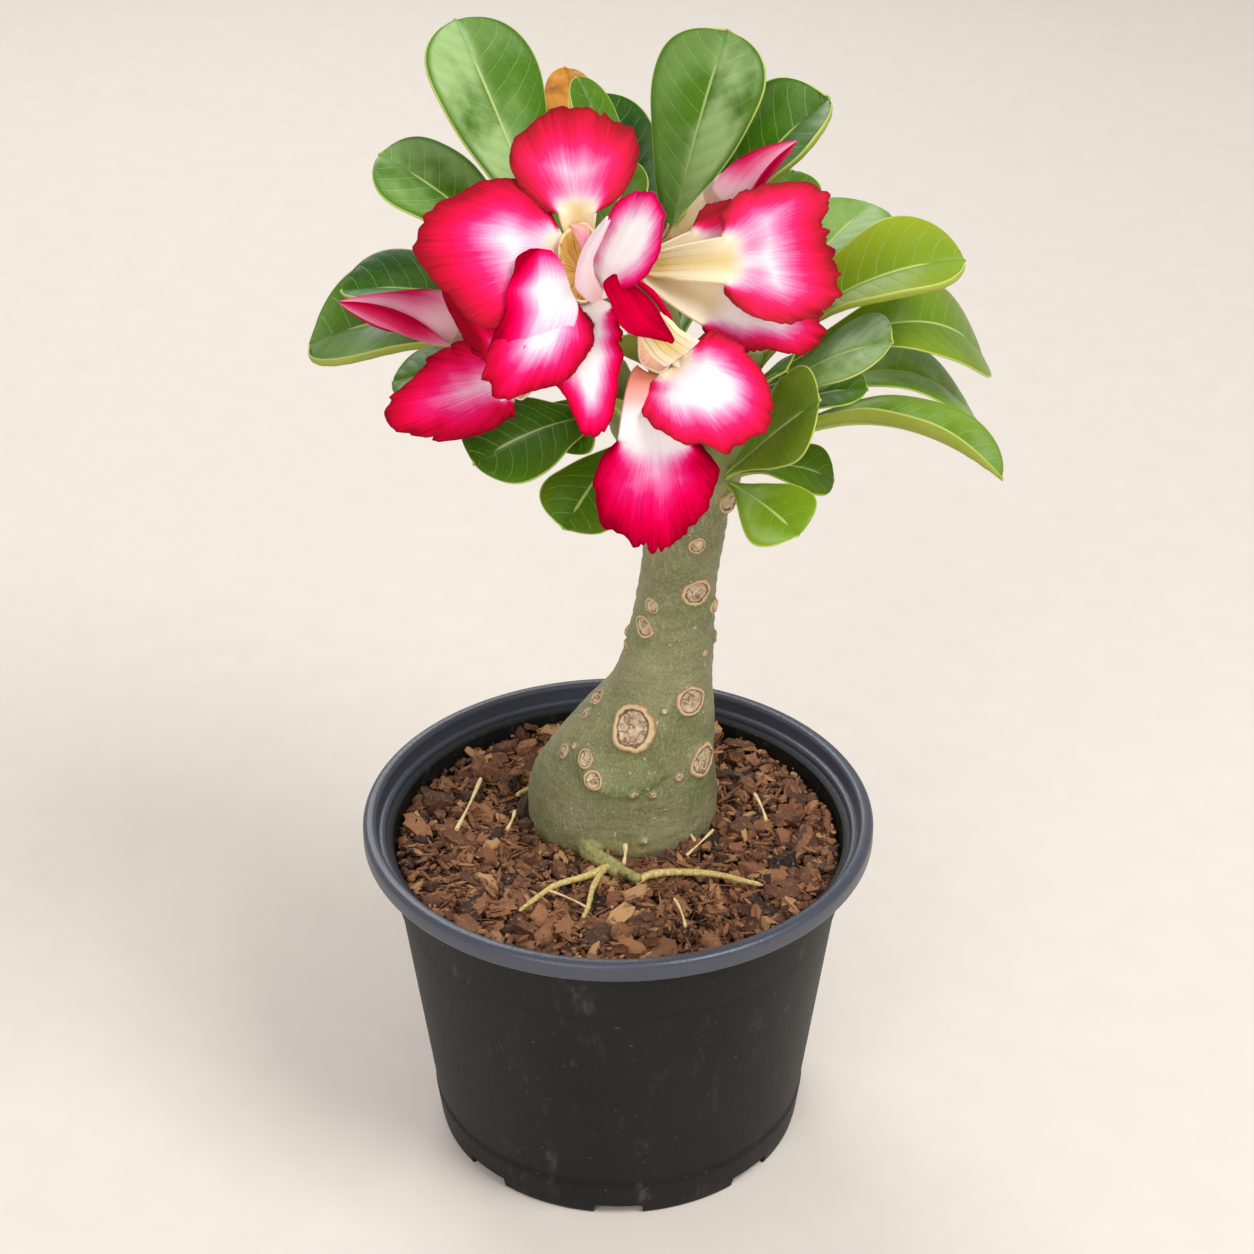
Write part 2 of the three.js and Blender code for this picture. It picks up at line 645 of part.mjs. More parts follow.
// How far an oval mouth's lip is from its middle, in a direction across its axis.
function mouthReach(axis, direction, [halfWidth, halfHeight]) {
  const level = EAST.clone().addScaledVector(axis, -EAST.dot(axis)).normalize();
  const upright = level.clone().cross(axis);
  return 1 / Math.hypot(direction.dot(level) / halfWidth, direction.dot(upright) / halfHeight);
}

function makePetal(mouth, axis, mouthSize, petal, number) {
  const [tip, claw, footWidth, clawWidth, opening, roll, rise, turn, margin] = petal;
  const end = vector(tip);
  const outward = end.clone().sub(mouth);
  outward.addScaledVector(axis, -outward.dot(axis)).normalize();
  const lip = outward.clone().applyAxisAngle(axis, radians(turn));
  const reach = mouthReach(axis, lip, mouthSize);
  const root = mouth.clone().addScaledVector(lip, reach * PETAL.inset).addScaledVector(axis, -PETAL.sunk);
  const bend = mouth.clone().addScaledVector(lip, reach + PETAL.lip).addScaledVector(axis, rise);
  const middle = new THREE.QuadraticBezierCurve3(root, bend, end);
  const length = middle.getLength();
  const marginRows = margin.map((distance) => [distance]);
  const firstSide = outward.clone().cross(axis);
  const place = (u, v) => {
    const angle = v * radians(opening);
    const start = Math.min(u * PETAL.rows, 1);
    const share = Math.max(u * PETAL.rows - 1, 0) / (PETAL.rows - 1);
    const fan = (share * (3 - share)) / 2;
    const [distance] = between(marginRows, (v + 1) / 2);
    const clawHalf = (footWidth + (clawWidth - footWidth) * start) / 2;
    const across = clawHalf * v * (1 - fan) + distance * Math.sin(angle) * fan;
    const along = claw * start + distance * Math.cos(angle) * fan;
    const s = along / length;
    const tangent = middle.getTangent(Math.min(Math.max(s, 0), 1));
    const side = firstSide.clone().applyAxisAngle(tangent, radians(roll) * s);
    const normal = side.clone().cross(tangent).normalize();
    const ripple = PETAL.ripple * fan ** 3 * Math.sin(PETAL.waves * angle + PETAL.phase * number);
    const trough = PETAL.trough * clawHalf * (1 - fan) * (v * v - 1 / 3);
    const lift = ripple + trough - (across * across) / (2 * PETAL.curl);
    return middle.getPoint(s).addScaledVector(side, across).addScaledVector(normal, lift);
  };
  return sheet(PETAL.rows, PETAL.columns, place, () => PETAL.thickness);
}

function makePedicel(branch, base, offset) {
  const tip = vector(BRANCHES[branch].path[2]);
  const away = base.clone().sub(tip).setZ(0).normalize();
  const root = tip.addScaledVector(away, offset).addScaledVector(SKY, -PEDICEL.radius);
  const bend = root.clone().lerp(base, PEDICEL.bend).addScaledVector(SKY, -PEDICEL.sag);
  const path = bentLine([root.toArray(), bend.toArray(), base.toArray()]);
  return rod(PEDICEL.sides, PEDICEL.steps, roundRings(path, () => PEDICEL.radius));
}

function makeCalyx(base, axis) {
  const path = (u) => base.clone().addScaledVector(axis, CALYX.length * (u - CALYX.sunk));
  return rod(CALYX.sides, 1, roundRings(path, tapered(CALYX.radii)));
}

function makeBloom({ branch, base, mouth, mouthSize, petals }) {
  const foot = vector(base);
  const throat = vector(mouth);
  const axis = throat.clone().sub(foot).normalize();
  const beyond = throat.clone().addScaledVector(axis, FUNNEL.overshoot);
  const path = (u) => foot.clone().lerp(throat, u);
  const sizeAt = (u, wall) => {
    const share = u ** FUNNEL.flare;
    return mouthSize.map((size) => FUNNEL.baseRadius + (size - FUNNEL.baseRadius) * share - wall);
  };
  const tube = rod(FUNNEL.sides, FUNNEL.steps, ovalRings(path, (u) => sizeAt(u, 0)));
  const inside = (u) => FUNNEL.inside + (1 - FUNNEL.inside) * u;
  const hollowPath = (u) => foot.clone().lerp(beyond, inside(u));
  const hollowRings = ovalRings(hollowPath, (u) => sizeAt(inside(u), FUNNEL.wall));
  const hollow = rod(FUNNEL.sides, FUNNEL.hollowSteps, hollowRings);
  const blades = petals.map((petal, i) => makePetal(throat, axis, mouthSize, petal, i));
  const stalk = makePedicel(branch, foot, PEDICEL.offset);
  return joined([tube.subtract(hollow), stalk, makeCalyx(foot, axis), ...blades]).subtract(shootSleeve);
}

function makeBud({ branch, base, shoulder, tip, radius }) {
  const foot = vector(base);
  const path = bentLine([base, shoulder, tip]);
  const axis = vector(shoulder).sub(foot).normalize();
  const radiusAt = (u) => {
    const swollen = Math.sin((Math.PI / 2) * Math.min(u / BUD.widest, 1)) ** 2;
    const closing = Math.max(u - BUD.widest, 0) / (1 - BUD.widest);
    const furled = Math.cos((closing * Math.PI) / 2) ** BUD.blunt;
    return Math.max((BUD.baseRadius + (radius - BUD.baseRadius) * swollen) * furled, BUD.tipRadius);
  };
  const body = rod(BUD.sides, BUD.steps, roundRings(path, radiusAt));
  return joined([body, makePedicel(branch, foot, 0), makeCalyx(foot, axis)]).subtract(shootSleeve);
}

// ---- The whole plant in its pot ----

const plant = new THREE.Group();
plant.add(meshOf("pot", makePot(), MATERIALS.plastic));
plant.add(meshOf("soil", makeSoil(), MATERIALS.soil));
plant.add(meshOf("trunk", makeTrunk(), MATERIALS.bark));
for (const row of LEAVES) plant.add(meshOf(row[0], makeLeaf(row), MATERIALS.leaf));
plant.add(meshOf(DRIED_LEAF[0], makeLeaf(DRIED_LEAF), MATERIALS.dried));
for (const [name, row] of Object.entries(BLOOMS)) plant.add(meshOf(name, makeBloom(row), MATERIALS.petal));
for (const [name, row] of Object.entries(BUDS)) plant.add(meshOf(name, makeBud(row), MATERIALS.petal));

export default plant;
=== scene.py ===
"""A desert rose in bloom in its round black nursery pot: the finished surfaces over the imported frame."""

import math

import bmesh
import bpy
import numpy as np
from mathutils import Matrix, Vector


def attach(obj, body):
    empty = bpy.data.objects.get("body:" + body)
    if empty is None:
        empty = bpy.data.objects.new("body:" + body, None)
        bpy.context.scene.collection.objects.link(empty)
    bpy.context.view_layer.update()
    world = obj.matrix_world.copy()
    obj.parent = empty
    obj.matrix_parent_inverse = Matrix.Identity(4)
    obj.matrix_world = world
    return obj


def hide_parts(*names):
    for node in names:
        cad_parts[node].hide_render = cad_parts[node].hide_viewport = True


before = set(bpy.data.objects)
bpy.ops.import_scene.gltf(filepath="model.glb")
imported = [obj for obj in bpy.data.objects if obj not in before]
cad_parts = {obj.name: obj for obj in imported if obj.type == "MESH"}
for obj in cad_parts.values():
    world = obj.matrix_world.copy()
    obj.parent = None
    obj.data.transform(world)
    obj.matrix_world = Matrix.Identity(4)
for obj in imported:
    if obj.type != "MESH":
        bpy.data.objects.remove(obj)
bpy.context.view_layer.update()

# ---- Driving dimensions, in millimetres in the frame's axes unless a line says otherwise ----

MM = 0.001

POT = {
    "height": 107.3,
    "rim_radius": 75.0,
    "rim_drop": 5.1,
    "rim_inner": 70.8,
    "top_radius": 68.3,
    "base_radius": 55.7,
    "wall": 1.6,
    "floor": 2.0,
    "collar": 82.0,
    "band": 12.4,
    "band_step": 0.4,
    "sides": 288,
}
# The drain notches in the pot's foot; their upper half is narrower by the taper.
DRAIN = {"count": 8, "width": 15.0, "height": 3.4, "depth": 7.0, "taper": 0.94}

SOIL_LEVEL = 96.0
SOIL_RADIUS = 65.6

# The trunk's rings from the buried plug to the fork: height, centre x and y, half width, half depth.
TRUNK_RINGS = [
    (78, 1, 15, 24, 20),
    (90, 1, 15, 27, 22.5),
    (100, 1.2, 14.4, 28.4, 24),
    (110, 1.8, 13.6, 27.6, 23.4),
    (120, 4, 12.6, 24.8, 22),
    (132, 7.6, 11.6, 20.6, 19),
    (144, 12, 10.6, 15.6, 15.6),
    (156, 14.6, 9.4, 12.8, 13),
    (170, 16, 8, 11.4, 11.6),
    (184, 17.2, 6.6, 10.9, 11),
    (198, 18.8, 5.4, 11.2, 11.2),
    (212, 19.8, 5, 11.2, 11),
    (222, 20, 5, 8.6, 8.6),
]

# Each branch: its foot, the point that it bends towards, its tip and its two radii.
BRANCHES = {
    "left": ([(15, 5, 206), (4, 4, 236), (-15, 2, 267)], (8, 4.4)),
    "centre": ([(20, 6, 208), (16, 12, 240), (9, 15, 268)], (8, 4.4)),
    "right": ([(25, 4, 208), (31, 0, 228), (35, -2, 256)], (7, 4.2)),
}

# Scars: the way that each faces in degrees, its height and its width.
SCARS = [
    (-109, 139, 13),
    (-34, 124, 10.5),
    (-56, 146, 9.4),
    (-63, 182, 8.6),
    (-138, 169, 7),
    (-132, 127, 5.2),
    (-117, 122, 5.4),
    (-155, 125, 4),
    (-169, 141, 4),
    (-21, 174, 4.4),
    (-128, 177, 4.6),
    (-73, 198, 4.6),
    (35, 150, 8),
    (88, 130, 9),
    (120, 172, 7),
    (60, 190, 6),
    (-30, 210, 7.4),
]

# Small corky nubs on the trunk: the way that each faces, its height and its width.
NUBS = [
    (-88, 119, 2.6),
    (-75, 118, 2.2),
    (-57, 122, 2.4),
    (-77, 102, 2.4),
    (-20, 174, 3.0),
    (-1, 161, 3.4),
    (174, 162, 3.0),
    (-172, 159, 2.6),
    (-174, 140, 3.6),
    (-166, 136, 3.0),
    (-149, 128, 2.0),
    (10, 104, 2.6),
    (-85, 144, 1.8),
    (-40, 160, 2.0),
    (60, 120, 3.0),
    (100, 150, 3.0),
    (140, 110, 3.4),
]

# The roots on the soil: points that each runs through, x and y, and its radius at both ends.
ROOTS = [
    ([(-10, 4), (-9, -8), (-4, -14), (1, -19), (6, -25)], (2.1, 1.4)),
    ([(5, -24), (13, -21), (24, -21), (32, -24), (41, -28)], (1.3, 0.6)),
    ([(-2, -16), (-8, -22), (-17, -27), (-22, -32), (-28, -39)], (1.2, 0.6)),
    ([(-4, -18), (-7, -28), (-8, -35), (-10, -43)], (1, 0.6)),
    ([(-14, 22), (-24, 24), (-31, 18)], (1.3, 0.6)),
]
ROOT_HEIGHT = 98.0
ROOT_RISE = 1.3
# The swollen green lip low on the front of the trunk: the way that it faces and its spread in degrees,
# its height, and how much its ends turn up.
LIP = {"facing": 102, "spread": 38, "height": 119.0, "smile": 5.5}
# Straw-coloured twigs and splinters on the mix: both ends and the radius.
TWIGS = [
    ((-42, 26, 100.5), (-48, 1, 99), 0.7),
    ((-31, 10, 99.5), (-33, 1, 99), 0.6),
    ((41, 17, 101), (44, 5, 99.5), 0.6),
    ((17, 4, 101), (23, -6, 99), 0.6),
    ((2, -12, 103), (1.4, -16, 98), 0.8),
    ((28, -2, 101), (20, -12, 99), 0.5),
    ((-20, -30, 99.5), (-9, -38, 99.5), 0.4),
    ((16, -36, 101), (19, -46, 98.5), 0.5),
]

# Each leaf: branch, how far up it stands, tip, width, roll and fold in degrees, rise and sway of its midrib.
LEAVES = {
    "leaf_left_1": ("left", 0.99, (-42, 30, 334), 38, 0, 10, 0.05, -0.03),
    "leaf_left_2": ("left", 0.92, (-62, 14, 303), 33, -15, 12, 0.08, 0),
    "leaf_left_3": ("left", 0.64, (-83, 10, 251), 42, -26, 20, 0.22, 0),
    "leaf_left_4": ("left", 0.76, (-73, 4, 269), 28, -14, 24, 0.13, 0),
    "leaf_left_5": ("left", 0.6, (-61, 8, 241), 26, -10, 12, 0.08, 0),
    "leaf_left_6": ("left", 0.5, (-37, -30, 235), 30, -20, 14, 0.1, 0),
    "leaf_left_7": ("left", 0.38, (-14, -30, 216), 22, -20, 12, 0.1, 0),
    "leaf_centre_1": ("centre", 0.99, (29, 34, 330), 38, 0, 10, 0.05, 0.02),
    "leaf_centre_2": ("centre", 0.84, (55, 18, 317), 38, 18, 18, 0.08, 0),
    "leaf_centre_3": ("centre", 0.93, (-11, 32, 318), 16, 0, 10, 0.05, 0),
    "leaf_centre_4": ("centre", 0.72, (-6, 52, 307), 24, 0, 10, 0.08, 0),
    "leaf_right_1": ("right", 0.99, (47, 30, 293), 22, 0, 10, 0.08, 0),
    "leaf_right_2": ("right", 0.93, (69, 34, 282), 28, 0, 12, 0.08, 0),
    "leaf_right_3": ("right", 0.9, (90, -4, 281), 34, 24, 18, 0.16, 0),
    "leaf_right_4": ("right", 0.77, (101, 26, 240), 28, 34, 16, 0.34, 0),
    "leaf_right_5": ("right", 0.52, (71, -18, 264), 31, 16, 4, 0.12, 0),
    "leaf_right_6": ("right", 0.68, (79, 32, 239), 20, 10, 12, 0.08, 0),
    "leaf_right_7": ("right", 0.52, (100, 24, 222), 27, 16, 16, 0.27, 0),
    "leaf_right_8": ("right", 0.32, (101, -25, 228), 30, -4, 34, 0.2, 0),
    "leaf_right_9": ("right", 0.42, (66, -10, 247), 20, 10, 12, 0.14, 0),
    "leaf_right_10": ("right", 0.26, (51, -38, 257), 26, 66, 8, 0.02, 0),
    "leaf_right_11": ("right", 0.2, (48, -26, 212), 22, 24, 12, 0.1, 0),
    "leaf_right_12": ("right", 0.22, (59, 0, 215), 18, 24, 14, 0.2, 0),
    "leaf_back_1": ("left", 0.8, (-58, 56, 252), 30, 10, 12, 0.1, 0),
    "leaf_back_2": ("left", 0.46, (-34, 58, 222), 26, 10, 12, 0.1, 0),
    "leaf_back_3": ("centre", 0.54, (-24, 80, 252), 30, 0, 12, 0.1, 0),
    "leaf_back_4": ("centre", 0.6, (28, 84, 250), 30, 0, 12, 0.1, 0),
    "leaf_back_5": ("right", 0.86, (62, 66, 250), 30, -10, 12, 0.1, 0),
    "leaf_back_6": ("right", 0.44, (48, 62, 214), 26, -10, 12, 0.1, 0),
    "leaf_dried": ("left", 0.9, (-14, 58, 312), 14, 0, 25, 0.12, 0),
}
LEAF = {
    "rows": 64,
    "thickness": 0.6,
    "petiole": 2.2,
    "narrow": 1.25,
    "blunt": 5.0,
    "sunk": 1.0,
    "mucro": 0.992,
}
# The columns of half a leaf, as shares of its half width, close together at the midrib and the margin.
LEAF_COLUMNS = [0.035, 0.08, 0.17, 0.3, 0.43, 0.56, 0.69, 0.81, 0.9, 0.96, 1.0]

# Young leaves that show in the gaps between the blooms, in the same way as the other leaves.
YOUNG_LEAVES = {
    "young_leaf_1": ("left", 0.86, (4, 18, 300), 15, 10, 12, 0.05, 0),
    "young_leaf_2": ("centre", 0.5, (4, -22, 268), 14, 30, 12, 0.05, 0),
    "young_leaf_3": ("right", 0.7, (44, -16, 255), 18, 20, 12, 0.1, 0),
    "young_leaf_4": ("centre", 0.9, (22, 2, 296), 13, 20, 12, 0.05, 0),
    "young_leaf_6": ("left", 0.95, (-18, 16, 306), 15, 0, 12, 0.05, 0),
    "young_leaf_7": ("right", 0.85, (26, -26, 280), 15, 10, 12, 0.05, 0),
    "young_leaf_8": ("left", 0.3, (-6, -20, 250), 16, 0, 12, 0.1, 0),
    "young_leaf_5": ("right", 0.55, (22, -28, 250), 15, 40, 12, 0.1, 0),
    "young_leaf_9": ("left", 0.6, (-17, -12, 231), 23, -10, 14, 0.1, 0),
}

# Each bloom: branch, base and mouth of its funnel, the mouth's half width and half height, and its petals:
# tip, claw length, claw width at its foot and its end, opening and roll in degrees, rise out of the mouth,
# the angle to the side that it grows on, and how far its margin is from the claw's end at nine even angles.
BLOOMS = {
    "bloom_1": {
        "branch": "left",
        "base": (-8, -12, 274),
        "mouth": (-9, -36, 293),
        "mouth_size": (5.6, 10),
        "petals": [
            ((-11, -20, 329), 11, 7, 9, 90, 0, 2, 0, (6, 13, 22, 22, 22, 22, 22, 12, 5)),
            ((-49, -42, 299), 6, 6, 9, 92, 0, 3, -35, (8, 15, 28, 31, 33, 31, 25, 12, 7)),
            ((-33, -52, 269), 5, 7, 9, 110, 0, 4.8, 10, (5, 8, 18, 28, 28, 17, 15, 14, 14)),
            ((-5, -50, 252), 10, 4, 14, 90, 0, 5, 0, (7, 9, 12, 20, 28, 20, 13, 9, 8)),
            ((9, -48, 318), 12, 3, 8, 60, 0, 8, -90, (10, 12, 15, 21, 26, 27, 20, 8, 4)),
        ],
    },
    "bloom_2": {
        "branch": "centre",
        "base": (7, -6, 278),
        "mouth": (4, -26, 288),
        "mouth_size": (3.4, 3.4),
        "petals": [
            ((54, -34, 294), 32, 3, 11, 92, 0, 5, 0, (12, 19, 24, 18, 18, 20, 21, 15, 8)),
            ((50, -28, 266), 30, 3, 12, 80, 0, 4, 0, (8, 12, 19, 20, 19, 14, 12, 9, 7)),
            ((52, -20, 281), 24, 3, 9, 70, 0, 0, 0, (9, 12, 14, 18, 21, 18, 14, 12, 9)),
            ((50, -20, 300), 24, 3, 8, 70, 0, 1, 0, (9, 12, 14, 18, 21, 18, 14, 12, 9)),
        ],
    },
    "bloom_3": {
        "branch": "right",
        "base": (14, -12, 260),
        "mouth": (10, -38, 272),
        "mouth_size": (5, 7),
        "petals": [
            ((33, -54, 250), 6, 7, 9, 110, 0, 5, 0, (12, 14, 19, 27, 26, 22, 17, 13, 13)),
            ((10, -50, 221), 29, 11, 18, 88, 0, 4, 0, (9, 17, 18, 18, 19, 20, 21, 16, 9)),
            ((-1, -64, 300), 16, 3, 6, 80, 0, 8, 10, (4, 4, 6, 11, 17, 12, 8, 6, 5)),
            ((34, -38, 262), 8, 6, 7, 72, 0, 1, 0, (7, 9, 10, 13, 17, 13, 10, 9, 7)),
        ],
    },
    "bloom_4": {
        "branch": "left",
        "base": (-17, -14, 257),
        "mouth": (-25, -33, 260),
        "mouth_size": (4, 5),
        "petals": [
            ((-60, -42, 253), 4, 6, 9, 90, 0, 2, 0, (9, 10, 16, 25, 32, 25, 19, 12, 10)),
            ((-42, -32, 286), 8, 6, 8, 80, 0, 3, 0, (8, 9, 10, 14, 22, 14, 10, 9, 8)),
            ((-46, -26, 250), 8, 6, 8, 80, 0, 0, 0, (7, 8, 9, 11, 16, 11, 9, 8, 7)),
        ],
    },
}
PETAL = {
    "thickness": 0.45,
    "ripple": 1.2,
    "waves": 2.5,
    "phase": 2.0,
    "curl": 55.0,
    "trough": 0.5,
    "inset": 0.97,
    "shorter": 0.17,
    "sunk": 4.0,
    "lip": 2.0,
}
FUNNEL = {"wall": 0.6, "base_radius": 2.4, "flare": 0.8}
PEDICEL = {"radius": 1.5, "offset": 3.4, "bend": 0.6, "sag": 2.0}

# Each bud: branch, base and end of its tube, tip, and the fullness of its furled petals.
BUDS = {
    "bud_1": ("centre", (12, 3, 281), (27, -4, 300), (45, -8, 314), 4.4),
    "bud_2": ("left", (-25, -5, 264), (-39, -16, 267), (-69, -30, 280), 6),
}

# ---- Points and vectors ----

SKY = np.array([0.0, 0.0, 1.0])
EAST = np.array([1.0, 0.0, 0.0])


def point(values):
    return np.array(values, float)


def unit(v):
    """Each vector of an array, made one long."""
    v = np.asarray(v, float)
    return v / np.maximum(np.linalg.norm(v, axis=-1, keepdims=True), 1e-12)


def turned(v, axis, angle):
    """Vectors turned about an axis; all three may be arrays."""
    axis = np.asarray(axis, float)
    angle = np.asarray(angle, float)[..., None]
    along = np.sum(axis * v, axis=-1, keepdims=True) * axis
    return v * np.cos(angle) + np.cross(axis, v) * np.sin(angle) + along * (1 - np.cos(angle))


def smooth(low, high, x):
    """0 below low, 1 above high, and a soft step between."""
    t = np.clip((np.asarray(x, float) - low) / (high - low), 0, 1)
    return t * t * (3 - 2 * t)


def bend_point(points, t):
    a, b, c = (point(p) for p in points)
    t = np.asarray(t, float)[..., None]
    return a * (1 - t) ** 2 + 2 * b * t * (1 - t) + c * t * t


def bend_direction(points, t):
    a, b, c = (point(p) for p in points)
    t = np.asarray(t, float)[..., None]
    return unit((b - a) * (1 - t) + (c - b) * t)


def bend_length(points):
    steps = bend_point(points, np.linspace(0, 1, 201))
    return float(np.sum(np.linalg.norm(np.diff(steps, axis=0), axis=1)))


def between(rows, place):
    """Smooth values between the rows of a table, at places from 0 to 1."""
    rows = np.asarray(rows, float)
    last = len(rows) - 1
    spot = np.clip(np.asarray(place, float), 0, 1) * last
    index = np.minimum(spot.astype(int), last - 1)
    t = (spot - index)[..., None]
    a, b, c, d = (rows[np.clip(index + k, 0, last)] for k in (-1, 0, 1, 2))
    slope, after, rise = (c - a) / 2, (d - b) / 2, c - b
    return b + slope * t + (3 * rise - 2 * slope - after) * t**2 + (slope + after - 2 * rise) * t**3


def noise_table(seed):
    """A repeatable smooth noise: a sum of waves with random directions, over points in any number of axes."""
    draws = np.random.default_rng(seed)
    directions = draws.normal(size=(12, 3))
    phases = draws.uniform(0, 2 * math.pi, 12)

    def value(points, scale):
        waves = np.asarray(points, float) @ (directions.T / scale) + phases
        return np.sum(np.sin(waves), axis=-1) / math.sqrt(len(phases) / 2) / 2

    return value


# ---- Meshes ----


class Shape:
    """The vertices, faces and per-vertex attributes of a piece, gathered from several parts."""

    def __init__(self):
        self.points, self.faces, self.values, self.count = [], [], {}, 0

    def add(self, points, faces, **values):
        points = np.asarray(points, float).reshape(-1, 3)
        for name in set(self.values) | set(values):
            column = self.values.setdefault(name, [np.zeros(self.count)] if self.count else [])
            column.append(np.broadcast_to(np.asarray(values.get(name, 0.0), float).ravel(), len(points)))
        self.points.append(points)
        self.faces.extend([[self.count + k for k in face] for face in faces])
        self.count += len(points)

    def piece(self, name, material, slot, *nodes):
        """A smooth shaded object of the gathered mesh, which rides on the plant and stands for its nodes."""
        mesh = bpy.data.meshes.new(name)
        mesh.from_pydata((np.concatenate(self.points) * MM).tolist(), [], self.faces)
        mesh.validate()
        mesh.update()
        for key, columns in self.values.items():
            layer = mesh.attributes.new(key, "FLOAT", "POINT")
            layer.data.foreach_set("value", np.concatenate(columns).astype(np.float32))
        mesh.shade_smooth()
        mesh.materials.append(material)
        return placed(bpy.data.objects.new(name, mesh), slot, *nodes)


def placed(thing, slot, *nodes):
    if thing.name not in bpy.context.scene.collection.objects:
        bpy.context.scene.collection.objects.link(thing)
    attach(thing, "root")
    if nodes:
        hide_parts(*nodes)
    return thing


def add_sheet(shape, middle, thickness, **values):
    """A closed sheet round a grid of middle points, upper face first. Values are grids or numbers."""
    rows, columns = middle.shape[:2]
    along = np.gradient(middle, axis=0)
    across = np.gradient(middle, axis=1)
    normal = unit(np.cross(across, along))
    half = (np.asarray(thickness) / 2)[..., None] * np.ones((rows, columns, 1))
    points = np.stack([middle + normal * half, middle - normal * half]).reshape(-1, 3)
    under = rows * columns
    number = np.arange(under).reshape(rows, columns)
    a, b, c, d = number[:-1, :-1], number[:-1, 1:], number[1:, 1:], number[1:, :-1]
    upper = np.stack([a, b, c, d], -1).reshape(-1, 4)
    faces = np.concatenate([upper, under + upper[:, ::-1]]).tolist()
    edge = [*number[0, :], *number[1:, -1], *number[-1, -2::-1], *number[-2:0:-1, 0]]
    for k, p in enumerate(edge):
        q = edge[(k + 1) % len(edge)]
        faces.append([under + p, under + q, q, p])
    grids = {}
    for name, value in values.items():
        grid = np.broadcast_to(np.asarray(value, float), (rows, columns)).ravel()
        grids[name] = np.concatenate([grid, grid])
    grids["upper"] = np.concatenate([np.ones(under), np.zeros(under)])
    shape.add(points, faces, **grids)


def add_rings(shape, rings, **values):
    """A tube over a grid of ring points (rings, sides, 3), with its ends closed by fans."""
    count, sides = rings.shape[:2]
    points = rings.reshape(-1, 3)
    faces = []
    for i in range(count - 1):
        for j in range(sides):
            k = (j + 1) % sides
            faces.append([i * sides + j, i * sides + k, (i + 1) * sides + k, (i + 1) * sides + j])
    first, last = len(points), len(points) + 1
    points = np.concatenate([points, rings[0].mean(0)[None], rings[-1].mean(0)[None]])
    top = (count - 1) * sides
    for j in range(sides):
        k = (j + 1) % sides
        faces.append([first, k, j])
        faces.append([last, top + j, top + k])
    grids = {n: np.broadcast_to(np.asarray(v, float), (count, sides)).ravel() for n, v in values.items()}
    grids = {n: np.concatenate([v, [v[:sides].mean(), v[-sides:].mean()]]) for n, v in grids.items()}
    shape.add(points, faces, **grids)


def rings_along(centres, radius, sides, reference=EAST, twist=0.0):
    """Round rings square to a line of centres. The radius is one per centre or a grid."""
    ahead = unit(np.gradient(centres, axis=0))
    right = unit(reference - ahead * np.sum(ahead * reference, axis=-1, keepdims=True))
    back = np.cross(ahead, right)
    angle = (np.arange(sides) * 2 * math.pi / sides)[None] + np.asarray(twist) * np.ones((len(centres), 1))
    radius = np.broadcast_to(np.asarray(radius, float).reshape(len(centres), -1), (len(centres), sides))
    spokes = right[:, None] * np.cos(angle)[..., None] + back[:, None] * np.sin(angle)[..., None]
    return centres[:, None] + spokes * radius[..., None]


# ---- Materials ----


def shade(red, green, blue):
    """A colour given as it looks on a screen, 0 to 255, in the renderer's linear values."""
    values = [c / 255 for c in (red, green, blue)]
    return tuple(c / 12.92 if c <= 0.04045 else ((c + 0.055) / 1.055) ** 2.4 for c in values)


class Signal:
    """A value that runs through a material's nodes. Sums and products of it make further nodes."""

    def __init__(self, paint, socket):
        self.paint, self.socket = paint, socket

    def __add__(self, other):
        return self.paint.math("ADD", self, other)

    def __sub__(self, other):
        return self.paint.math("SUBTRACT", self, other)

    def __mul__(self, other):
        return self.paint.math("MULTIPLY", self, other)

    def __abs__(self):
        return self.paint.math("ABSOLUTE", self)


